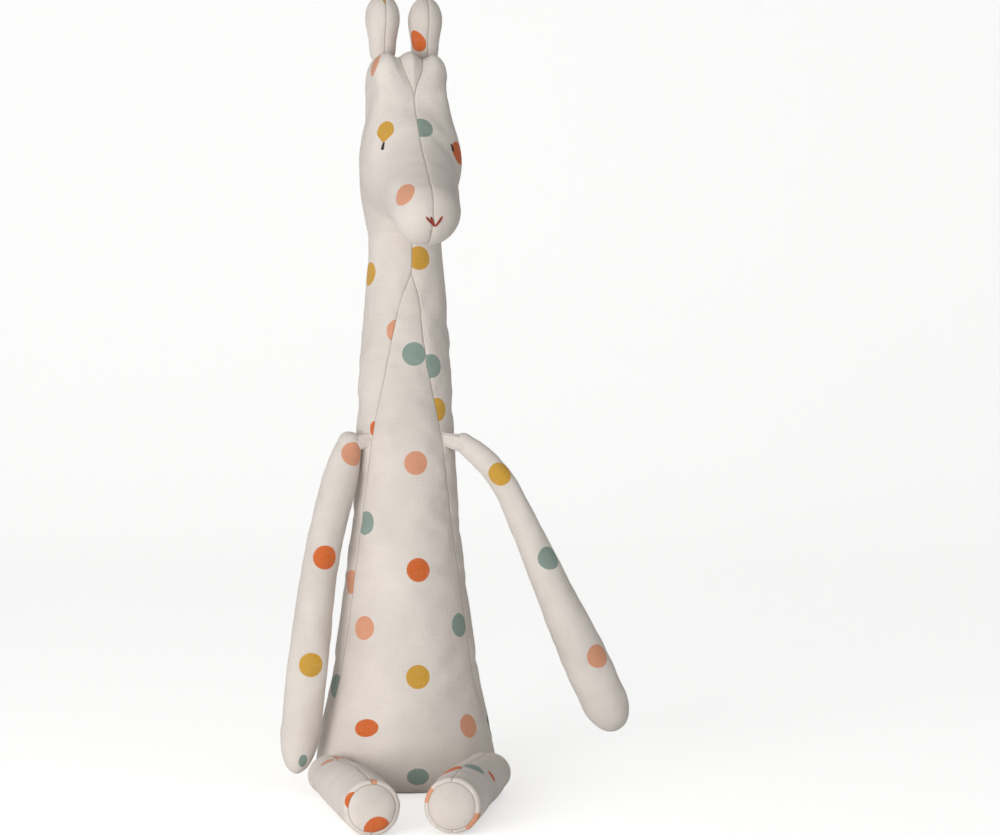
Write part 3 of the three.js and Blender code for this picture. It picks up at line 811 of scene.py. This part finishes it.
def blownUp(mesh, s):
    # the coarse cloth filled with air, its seams held, as moves of its points in mm
    scene = bpy.context.scene
    before = meshPoints(mesh)
    puppet = makeObject(mesh)
    held = puppet.vertex_groups.new(name="held")
    held.add([int(vertex) for vertex in seamVertices(mesh)], 1.0, "REPLACE")
    modifier = puppet.modifiers.new("cloth", "CLOTH")
    cloth = modifier.settings
    cloth.quality = s["quality"]
    cloth.mass = s["mass"]
    cloth.tension_stiffness = cloth.compression_stiffness = s["stiffness"]
    cloth.bending_stiffness = s["bending"]
    cloth.use_pressure = True
    cloth.uniform_pressure_force = s["pressure"]
    cloth.shrink_min = s["shrink"]
    cloth.vertex_group_mass = "held"
    cloth.effector_weights.gravity = 0
    modifier.point_cache.frame_start, modifier.point_cache.frame_end = 1, s["frames"]
    for frame in range(1, s["frames"] + 1):
        scene.frame_set(frame)
    found = puppet.evaluated_get(bpy.context.evaluated_depsgraph_get())
    after = meshPoints(found.data)
    bpy.data.objects.remove(puppet)
    scene.frame_set(1)
    return before, after - before


def capped(moves, limit):
    length = np.linalg.norm(moves, axis=1, keepdims=True)
    return moves * limit * np.tanh(length / limit) / np.maximum(length, 1e-9)


def settle(mesh, coarsePanels, s):
    # folds of the coarse cloth, laid on the fine cloth
    points, moves = blownUp(weldPanels(mesh.name + "Coarse", coarsePanels), s)
    tree = treeOf(points)
    around = [[near[1] for near in tree.find_range(point, s["broad"])] for point in points]
    broad = np.array([moves[near].mean(0) for near in around])
    folds = capped((moves - broad) * s["gain"] + broad * s["keepBroad"], s["cap"])
    fine = meshPoints(mesh)
    shift = np.zeros_like(fine)
    for number, point in enumerate(fine):
        _, near, gaps = zip(*tree.find_n(point, s["neighbours"]))
        weights = np.exp(-((np.array(gaps) / s["reach"]) ** 2)) + 1e-9
        shift[number] = weights @ folds[list(near)] / weights.sum()
    setPoints(mesh, fine + shift)
    print(mesh.name, "settled, folds", round(float(np.linalg.norm(shift, axis=1).mean()), 2), "mm")


def coarser(makePanels, *settings):
    return makePanels(*settings, settling["detail"], 0)


def sewPiece(name, panels, marks, seed, floor=None, hidden=None, settings=sewing, coarse=None,
             deeper=None):
    mesh = weldPanels(name, panels)
    if coarse:
        settle(mesh, coarse, settling)
    drawInSeams(mesh, settings, seed, deeper)
    if floor is not None:
        points = meshPoints(mesh)
        points[:, 2] = np.maximum(points[:, 2], floor)
        setPoints(mesh, points)
    placed = printDots(mesh, panels, marks, hidden)
    mesh.materials.append(spottedLinen)
    print(name, "sewn,", len(mesh.vertices), "points,", len(placed), "dots")
    return makeObject(mesh)


def stuffed(piece, body, nodes, bend=None):
    if bend:
        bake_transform(piece)
    else:
        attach(piece, body)
    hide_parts(*nodes)


detail = 1
skinMarks = [
    ("left", "mustard", 385, 131.5, {"tip": (382, 150), "narrow": 1.3, "taper": 1.6}),
    ("right", "sage", 421.5, 127.5), ("left", "salmon", 404, 194),
    ("right", "orange", 454.5, 154, {"past": 6}), ("left", "salmon", 374, 64.5),
    ("right", "mustard", 419, 258),
    ("left", "mustard", 369.5, 274), ("left", "salmon", 398, 331), ("front", "sage", 414, 354),
    ("right", "sage", 431, 366), ("left", "orange", 375.5, 429, {"tip": (375, 440), "size": 0.7}),
    ("front", "salmon", 416, 463),
    ("front", "sage", 365, 523), ("front", "orange", 418.5, 570), ("left", "salmon", 351, 582),
    ("front", "salmon", 364, 628), ("front", "sage", 460, 625), ("front", "mustard", 418, 677),
    ("left", "sage", 335.5, 686),
    ("front", "orange", 366, 728, {"tip": (380, 728), "narrow": 1.48, "size": 1.11}),
    ("front", "salmon", 468.6, 726),
    ("front", "sage", 418, 777, {"tip": (430, 777), "narrow": 1.28, "size": 0.92}),
]


def crownSeams(points):
    height = turned(points, headPlace.inverted())[:, 2]
    return 1 + skinShape["crownValley"] * smoothStep(height, *skinShape["valleyRise"])


skin = sewPiece("giraffeSkin", skinPanels(detail), skinMarks, 1, 0, hiddenBox["skin"],
                coarse=coarser(skinPanels), deeper=crownSeams)
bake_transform(skin)
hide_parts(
    "body_front_gusset", "body_left_side", "body_right_side", "body_base", "body_stuffing",
    "head_left_side", "head_right_side", "head_crown", "head_stuffing",
)


# ears, arms, legs and tail: each along its own Z from a round root

limbs = {
    "ear": {
        "rootRadius": 8.4, "rootDepth": 12, "rootPower": 0.3, "halfWidth": 10.2, "depthShare": 1.2,
        "length": 28, "endRound": 15, "swellShares": [(0, 0), (0.2, 0.5), (0.42, 1), (1, 1)],
        "seamAt": 90, "rows": 60, "columns": 40,
    },
    "leftArm": {
        "rootRadius": 7.6, "rootDepth": 7.2, "rootPower": 0.8, "halfWidth": 12.3, "depthShare": 0.95,
        "length": 197, "endRound": 29,
        "swellShares": [(0, 0), (0.025, 0.22), (0.055, 0.42), (0.1, 0.63), (0.15, 0.73), (0.3, 0.7),
                        (0.55, 0.89), (0.75, 1), (1, 1)],
        "lean": (15.6, 6.6), "bendShare": 0.6, "seamAt": 0, "rows": 190, "columns": 50,
    },
    "rightArm": {
        "rootRadius": 6.4, "rootDepth": 6.4, "rootPower": 0.8, "halfWidth": 14.2, "depthShare": 0.95,
        "length": 197, "endRound": 21,
        "swellShares": [(0, 0), (0.055, 0.13), (0.1, 0.19), (0.25, 0.25), (0.315, 0.36),
                        (0.45, 0.54), (0.53, 0.63), (0.61, 0.78), (0.68, 0.91), (0.76, 1), (1, 0.96)],
        "lean": (-52, -24.4), "bendShare": 0.27, "seamAt": 0, "rows": 190, "columns": 50,
    },
    "leg": {
        "rootRadius": 14.4, "halfWidth": 15.2, "depthShare": 1, "length": 122, "endRound": 5,
        "swellShares": [(0, 0), (0.3, 0.45), (0.7, 0.85), (1, 1)], "seamAt": 90,
        "rows": 120, "columns": 64,
        "soleInset": 2.4, "footRise": 15.6, "flatRoot": 0.83, "flatUntil": 0.7,
    },
    "tail": {
        "rootRadius": 3.8, "halfWidth": 3.1, "depthShare": 1, "length": 36, "endRound": 1.4,
        "swellShares": [(0, 0), (1, 1)], "seamAt": 0, "rows": 50, "columns": 16, "awayFromBody": 24,
    },
}
limbGrid = {"rootShare": 0.12, "fewestRoot": 5, "endShare": 0.18, "fewestEnd": 6}  # of the rows


def limbRings(s, detail):
    startLean, endLean = (math.radians(value) for value in s.get("lean", (0, 0)))
    rootRows = max(limbGrid["fewestRoot"], int(limbGrid["rootShare"] * s["rows"] * detail))
    endRows = max(limbGrid["fewestEnd"], int(limbGrid["endShare"] * s["rows"] * detail))
    shaftRows = int(s["rows"] * detail)
    angles = np.linspace(0, math.pi / 2, rootRows + 1)[:-1]
    shaft = s["length"] - s["endRound"]
    stops = np.concatenate([
        np.linspace(0, shaft, shaftRows + 1),
        shaft + s["endRound"] * np.sin(np.linspace(0, math.pi / 2, endRows + 1)[1:]),
    ])
    if "soleInset" in s:
        stops = np.sort(np.append(stops, s["length"] - s["soleInset"]))

    def leanAt(along):
        return mix(startLean, endLean, smoothStep(along / s["length"], 0, s.get("bendShare", 1)))

    def way(angle):
        return np.stack([np.sin(angle), np.zeros_like(angle), np.cos(angle)], -1)

    steps = np.diff(stops)[:, None] * way(leanAt((stops[:-1] + stops[1:]) / 2))
    centres = np.concatenate([np.zeros((1, 3)), np.cumsum(steps, axis=0)])
    swell = smoothCurve(s["swellShares"], stops / s["length"])
    past = np.clip((stops - shaft) / s["endRound"], 0, 1)
    cap = np.sqrt(1 - past**2)
    rootStops = -s.get("rootDepth", s["rootRadius"]) * np.cos(angles)
    root = rootStops[:, None] * way(np.full(len(angles), startLean))
    rootWidth = s["rootRadius"] * np.sin(angles) ** s.get("rootPower", 1)
    halfDepth = s["halfWidth"] * s["depthShare"]
    widths, depths = (
        np.concatenate([rootWidth, cap * mix(s["rootRadius"], half, swell)])
        for half in (s["halfWidth"], halfDepth)
    )
    allStops = np.concatenate([rootStops, stops])
    rounding = smoothStep(allStops / s["length"], 0, s.get("flatUntil", 1))
    flatter = depths * (1 - mix(s.get("flatRoot", 1), 1, rounding))
    return {
        "centres": np.concatenate([root, centres]),
        "leans": np.concatenate([np.full(len(angles), startLean), leanAt(stops)]),
        "widths": widths,
        "depths": depths - flatter,
        "drops": flatter,
        "stops": allStops,
    }


def limbPoints(rings, around, rows):
    lean, width = rings["leans"][rows, None], rings["widths"][rows, None]
    across = width * np.cos(around)
    depth = rings["depths"][rows, None] * np.sin(around) - rings["drops"][rows, None]
    offset = np.stack([across * np.cos(lean), depth + 0 * lean, -across * np.sin(lean)], -1)
    return rings["centres"][rows, None] + offset


def limbPanels(kind, place, names, detail, pull=0.7):
    s = limbs[kind]
    rings = limbRings(s, detail)
    start = math.radians(s["seamAt"])
    share = crowded(oddCount(s["columns"], detail), pull)
    halves = [start + math.pi * share, start + math.pi + math.pi * share]
    last = len(rings["stops"]) - 1
    if "soleInset" in s:
        last = int(np.argmin(np.abs(rings["stops"] - s["length"] + s["soleInset"])))
    parts = [(name, around, slice(0, last + 1)) for name, around in zip(names, halves)]
    if "soleInset" in s:
        parts.append(("sole", np.concatenate([halves[0], halves[1][1:]]), slice(last, None)))
    return [panel(name, turned(limbPoints(rings, around, rows), place)) for name, around, rows in parts]


def standing(jointName, *turns):
    place = Matrix.Translation(pivotOf(jointName))
    for degrees, axis in turns:
        place = place @ Matrix.Rotation(math.radians(degrees), 4, axis)
    return place


def sewLimb(name, kind, place, names, marks, seed, simulated=True, **more):
    coarse = coarser(limbPanels, kind, place, names) if simulated else None
    return sewPiece(name, limbPanels(kind, place, names, detail), marks, seed, coarse=coarse, **more)


armSettings = {
    "left": {
        "forward": 4, "seed": 19,
        "marks": [
            ("front", "salmon", 353, 454), ("front", "orange", 325, 557.5), ("front", "mustard", 311, 665),
            ("front", "sage", 303, 761, {"tip": (302, 768), "narrow": 1.6, "size": 0.6}),
        ],
    },
    "right": {
        "forward": 1, "seed": 21,
        "marks": [
            ("front", "mustard", 500, 474), ("front", "sage", 549, 558), ("front", "salmon", 598, 656),
        ],
    },
}
for side, arm in armSettings.items():
    place = standing(side + "_arm_swing", (-arm["forward"], "X"), (180, "Y"))
    piece = sewLimb(side + "ArmCloth", side + "Arm", place, ("back", "front"), arm["marks"], arm["seed"],
                    hidden=hiddenBox["arms"])
    nodes = [side + "_arm_" + part for part in ("front", "back", "stuffing")]
    stuffed(piece, side + "_arm", nodes)

earSettings = {
    "left": {
        "panels": ("outer", "inner"), "seed": 29,
        "marks": [("outer", "mustard", 391, 0.5, {"tip": (391, 8), "size": 0.75})],
    },
    "right": {
        "panels": ("inner", "outer"), "seed": 31,
        "marks": [("inner", "orange", 417, 41, {"tip": (424, 51), "narrow": 1.45})],
    },
    "bend": (-7, 5),  # mm from the hinge
}
for side in ("left", "right"):
    ear = earSettings[side]
    place = standing(side + "_ear_flop", (skinShape["turn"], "Z"))
    piece = sewLimb(side + "EarCloth", "ear", place, ear["panels"], ear["marks"], ear["seed"], False)
    root = pivotOf(side + "_ear_flop")
    low, high = (Vector(root + (0, 0, height)) * mm for height in earSettings["bend"])
    bend = {"from": "head", "start": low, "end": high}
    nodes = [side + "_ear_" + part for part in ("outer", "inner", "stuffing")]
    stuffed(piece, side + "_ear", nodes, bend)

gathered = {**sewing, "puckerHeight": 0.5, "puckerLength": 4, "puckerReach": 4.5}
legSettings = {
    "left": {
        "panels": ("outer", "inner"), "seed": 39, "turn": 9.3,
        "marks": [
            ("sole", "orange", 377, 829), ("inner", "salmon", 364, 783),
            ("outer", "orange", 353, 801, {"tip": (353, 810), "size": 0.66}),
            ("inner", "salmon", 332, 758),
            ("outer", "salmon", 327, 762, {"tip": (336, 757), "narrow": 1.5, "size": 0.8}),
        ],
    },
    "right": {
        "panels": ("inner", "outer"), "seed": 41, "turn": -13.3,
        "marks": [
            ("inner", "orange", 449, 770),
            ("inner", "salmon", 428, 795, {"tip": (434, 789), "size": 0.6}),
            ("outer", "sage", 473, 767), ("outer", "orange", 492, 776, {"tip": (497, 779), "size": 0.5}),
            ("outer", "salmon", 475, 823, {"tip": (480, 817), "size": 0.8}),
        ],
    },
}
for side, leg in legSettings.items():
    fall = pivotOf(side + "_leg_swing")[2] - limbs["leg"]["footRise"]
    drop = math.degrees(math.asin(fall / limbs["leg"]["length"]))
    place = standing(side + "_leg_swing", (leg["turn"], "Z"), (90 + drop, "X"))
    piece = sewLimb(side + "LegCloth", "leg", place, leg["panels"], leg["marks"], leg["seed"],
                    floor=0, settings=gathered)
    nodes = [side + "_leg_" + part for part in ("outer_side", "inner_side", "sole", "stuffing")]
    stuffed(piece, side + "_leg", nodes)

# gathered arm tops: flat in the body's side seam, round where the arm's filling starts

tabs = {
    "seam": (370.5, 436),  # the pixel where the left one leaves the seam
    "seamHalfHeight": 4, "seamHalfDepth": 1.3, "armRadius": 5.6, "seamRise": 2.5, "intoArm": 2, "sink": 1.2,
    "pleats": 8, "pleatDepth": 0.25, "pleatSway": 1.5, "pleatFade": 0.55, "rows": 40, "columns": 108,
    "opening": (0, 0.06), "rising": (0.1, 0.9), "filling": (0, 0.75), "closing": (0.82, 1),  # along the tab
    "bend": (0.3, 0.75), "seamGap": 9,
}
skinTree = surfaceTree(skin.data)


def tabPanel(start, end, s, detail):
    along = np.linspace(0, 1, int(s["rows"] * detail))[:, None]
    around = np.linspace(0, 2 * math.pi, int(s["columns"] * detail) + 1)[None]
    onward = (end - start) / np.linalg.norm(end - start)
    aside = np.cross(onward, (0, 0, 1))
    aside /= np.linalg.norm(aside)
    ends = np.sqrt(1 - smoothStep(along, *s["closing"]) ** 2) * np.sqrt(smoothStep(along, *s["opening"]))
    pleats = np.cos(s["pleats"] * around + s["pleatSway"] * np.sin(around))
    fold = pleats * s["pleatDepth"] * (1 - s["pleatFade"] * along)
    high = mix(s["seamHalfHeight"], s["armRadius"], smoothStep(along, *s["rising"])) + fold
    deep = mix(s["seamHalfDepth"], s["armRadius"], smoothStep(along, *s["filling"])) + fold
    up, out = (ends * high * np.sin(around))[..., None], (ends * deep * np.cos(around))[..., None]
    return panel("tab", start + (end - start) * along[..., None] + up * np.array((0, 0, 1.0)) + out * aside)


leftSeam = underPixel(skinTree, *tabs["seam"])
for side, sign in (("left", -1), ("right", 1)):
    pivot = pivotOf(side + "_arm_swing")
    start = Vector((abs(leftSeam[0]) * sign, leftSeam[1], pivot[2] + tabs["seamRise"]))
    start, normal = (np.array(found) for found in skinTree.find_nearest(start)[:2])
    start = start - normal * tabs["sink"]
    lean = math.radians(limbs[side + "Arm"]["lean"][0])
    end = pivot - tabs["intoArm"] * np.array((math.sin(lean), 0, math.cos(lean)))
    mesh = weldPanels(side + "ArmTop", [tabPanel(start, end, tabs, detail)])
    printDots(mesh, [], [])
    keepSeamGaps(mesh, np.full(len(mesh.vertices), tabs["seamGap"]))
    mesh.materials.append(spottedLinen)
    low, high = (Vector(mix(start, pivot, share)) * mm for share in tabs["bend"])
    bend = {"from": "body", "start": low, "end": high}
    stuffed(makeObject(mesh), side + "_shoulder", [side + "_arm_tab"], bend)
print("arm tops made")

tailPlace = standing("tail_swing", (180 + limbs["tail"]["awayFromBody"], "X"))
tail = sewLimb("tailCloth", "tail", tailPlace, ("back", "front"), [], 50, False)
stuffed(tail, "tail", ["tail_tube"])


# embroidery and yarn: plain lines that one node tree turns into threads of twisted plies

eyeStitches = {
    "ends": ((384.2, 141.8), (382.2, 150.2)),  # pixels
    "strands": 6, "spreads": (0.5, 1.75), "rise": 0.5, "doming": 1.6, "sink": 0.5,
    "plies": 2, "plyRadius": 0.15, "twist": 1.6, "step": 0.2, "sides": 6,
}
noseStitches = {
    "lines": [
        ((425.9, 216.8), (434.5, 226.4)), ((442.4, 216.2), (434.9, 226.8)), ((430.6, 217), (434.2, 225.4)),
    ],
    "rise": 0.35, "sink": 0.7,
    "plies": 3, "plyRadius": 0.34, "twist": 3.6, "step": 0.25, "sides": 8,
}
tuftYarn = {
    "strands": 64, "points": 20, "length": 21, "shorter": 3.5, "intoTail": 0.12,
    "rootRadius": 2.1, "widest": 5.0, "widestAt": 0.75, "curl": 0.9, "waves": 5, "seed": 7,
    "plies": 2, "plyRadius": 0.33, "twist": 2.6, "step": 0.5, "sides": 6,
}


def threadTree(looseness=1.1):
    tree = bpy.data.node_groups.new("twistedThread", "GeometryNodeTree")
    inputs = (("Geometry", "Geometry"), ("Plies", "Int"), ("Ply Radius", "Float"), ("Twist", "Float"),
              ("Step", "Float"), ("Sides", "Int"), ("Material", "Material"))
    for name, kind in inputs:
        tree.interface.new_socket(name, in_out="INPUT", socket_type="NodeSocket" + kind)
    tree.interface.new_socket("Geometry", in_out="OUTPUT", socket_type="NodeSocketGeometry")
    wires = Wires(tree)

    def geometryNode(kind, sources=None, **values):
        return wires.node("GeometryNode" + kind, sources, **values).outputs

    def vector(operation, sources):
        return wires.node("ShaderNodeVectorMath", sources, operation=operation).outputs[0]

    given = wires.node("NodeGroupInput").outputs
    lines = geometryNode("MeshToCurve", {"Mesh": given["Geometry"]})[0]
    even = geometryNode("ResampleCurve", {"Curve": lines, "Length": given["Step"]}, mode="LENGTH")[0]
    plies = geometryNode("DuplicateElements", {"Geometry": even, "Amount": given["Plies"]}, domain="SPLINE")

    # each ply winds round the line
    along = geometryNode("SplineParameter")["Length"]
    share = wires.math("DIVIDE", plies["Duplicate Index"], given["Plies"])
    turns = wires.math("ADD", share, wires.math("DIVIDE", along, given["Twist"]))
    angle = wires.math("MULTIPLY", turns, 2 * math.pi)
    reach = wires.math("MULTIPLY", given["Ply Radius"], looseness)
    normal = geometryNode("InputNormal")[0]
    across = vector("CROSS_PRODUCT", {0: geometryNode("InputTangent")[0], 1: normal})
    moves = [
        vector("SCALE", {0: way, "Scale": wires.math("MULTIPLY", wires.math(turn, angle), reach)})
        for way, turn in ((normal, "COSINE"), (across, "SINE"))
    ]
    offset = vector("ADD", {0: moves[0], 1: moves[1]})
    wound = geometryNode("SetPosition", {"Geometry": plies["Geometry"], "Offset": offset})[0]
    circle = {"Resolution": given["Sides"], "Radius": given["Ply Radius"]}
    profile = geometryNode("CurvePrimitiveCircle", circle)[0]
    tubes = geometryNode("CurveToMesh", {"Curve": wound, "Profile Curve": profile, "Fill Caps": True})[0]
    smooth = geometryNode("SetShadeSmooth", {"Geometry": tubes})[0]
    real = geometryNode("RealizeInstances", {"Geometry": smooth})[0]
    dressed = geometryNode("SetMaterial", {"Geometry": real, "Material": given["Material"]})[0]
    wires.node("NodeGroupOutput", {"Geometry": dressed})
    return tree


threadLook = {
    "fibreScale": 2600, "patchScale": 420, "shadeRange": (0.75, 1.3), "sheen": 0.15,
    "bump": 0.5, "bumpDepth": 0.08,  # mm
}


def threadMaterial(name, light, dark, roughness):
    s = threadLook
    material, wires, shader = newMaterial(name, roughness)
    place = wires.node("ShaderNodeTexCoord").outputs["Object"]
    fibres = wires.noise(place, s["fibreScale"], 3)
    patches = wires.noise(place, s["patchScale"], 2)
    shade = wires.ranged(wires.math("ADD", fibres, patches), *s["shadeRange"])
    wires.join(wires.blend(shade, linear(*dark), linear(*light)), shader["Base Color"])
    shader["Sheen Weight"].default_value = s["sheen"]
    wires.join(wires.bump(fibres, s["bump"], s["bumpDepth"]), shader["Normal"])
    return material


twistedThread = threadTree()


def threads(name, lines, s, material, body, node):
    starts = np.cumsum([0] + [len(line) for line in lines])
    edges = [(k, k + 1) for first, last in zip(starts, starts[1:]) for k in range(first, last - 1)]
    mesh = bpy.data.meshes.new(name + "Lines")
    mesh.from_pydata((np.concatenate(lines) * mm).tolist(), edges, [])
    source = addObject(name + "Lines", mesh)
    modifier = source.modifiers.new("thread", "NODES")
    modifier.node_group = twistedThread
    values = {"Plies": s["plies"], "Ply Radius": s["plyRadius"] * mm, "Twist": s["twist"] * mm,
              "Step": s["step"] * mm, "Sides": s["sides"], "Material": material}
    for socket in twistedThread.interface.items_tree:
        if socket.in_out == "INPUT" and socket.name in values:
            modifier[socket.identifier] = values[socket.name]
    found = source.evaluated_get(bpy.context.evaluated_depsgraph_get())
    made = bpy.data.meshes.new_from_object(found)
    made.name = name
    bpy.data.objects.remove(source)
    piece = addObject(name, made)
    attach(piece, body)
    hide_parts(node)
    print(name, "made,", len(made.polygons), "faces")


def stitch(start, end, rise, sink, steps=14, fullness=0.6):
    # a line over the cloth from one point to another, both ends under it
    line = []
    for share in np.linspace(0, 1, steps):
        place, normal = skinTree.find_nearest(Vector(mix(start, end, share)))[:2]
        height = mix(-sink, rise, math.sin(math.pi * share) ** fullness)
        line.append(np.array(place) + np.array(normal) * height)
    return np.array(line)


def eyeLines(s, mirrored):
    top, bottom = (underPixel(skinTree, *end) for end in s["ends"])
    if mirrored:
        flip = headPlace @ Matrix.Scale(-1, 4, Vector((1, 0, 0))) @ headPlace.inverted()
        top, bottom = (turned(point[None], flip)[0] for point in (top, bottom))
    normal = np.array(skinTree.find_nearest(Vector(mix(top, bottom, 0.5)))[1])
    aside = np.cross(bottom - top, normal)
    aside /= np.linalg.norm(aside)
    lines = []
    for share in np.linspace(-0.5, 0.5, s["strands"]):
        start, end = (point + aside * share * spread for point, spread in zip((top, bottom), s["spreads"]))
        lines.append(stitch(start, end, s["rise"] * (1 - s["doming"] * share**2), s["sink"]))
    return lines


def noseLines(s):
    ends = [[underPixel(skinTree, *pixel) for pixel in line] for line in s["lines"]]
    return [stitch(start, end, s["rise"], s["sink"]) for start, end in ends]


def tuftLines(s, place):
    chance = np.random.default_rng(s["seed"])
    lines = []
    for number in range(s["strands"]):
        angle = number * math.pi * (3 - math.sqrt(5))
        out = math.sqrt((number + 0.5) / s["strands"])
        length = s["length"] - s["shorter"] * chance.random()
        curl, phase = s["curl"] * chance.random(), 2 * math.pi * chance.random()
        along = np.linspace(-s["intoTail"], 1, s["points"])
        spread = mix(s["rootRadius"], s["widest"], smoothStep(along, 0, s["widestAt"])) * out
        wave = curl * np.maximum(along, 0) * np.sin(s["waves"] * along + phase)
        x, y = spread * math.cos(angle) + wave, spread * math.sin(angle) + wave * math.cos(phase)
        lines.append(turned(np.stack([x, y, length * along], -1), place))
    return lines


eyeThread = threadMaterial("eyeThread", (44, 36, 30), (16, 12, 9), 0.55)
noseThread = threadMaterial("noseThread", (176, 52, 22), (104, 14, 9), 0.6)
tuftThread = threadMaterial("tuftYarn", (218, 208, 196), (186, 172, 156), 0.9)
for side in ("left", "right"):
    lines = eyeLines(eyeStitches, side == "right")
    threads(side + "EyeStitches", lines, eyeStitches, eyeThread, "head", side + "_eye")
lines = noseLines(noseStitches)
threads("noseStitches", lines, noseStitches, noseThread, "head", "nose_stitches")
lines = tuftLines(tuftYarn, tailPlace @ Matrix.Translation((0, 0, limbs["tail"]["length"])))
threads("tailTuft", lines, tuftYarn, tuftThread, "tail", "tail_tuft")
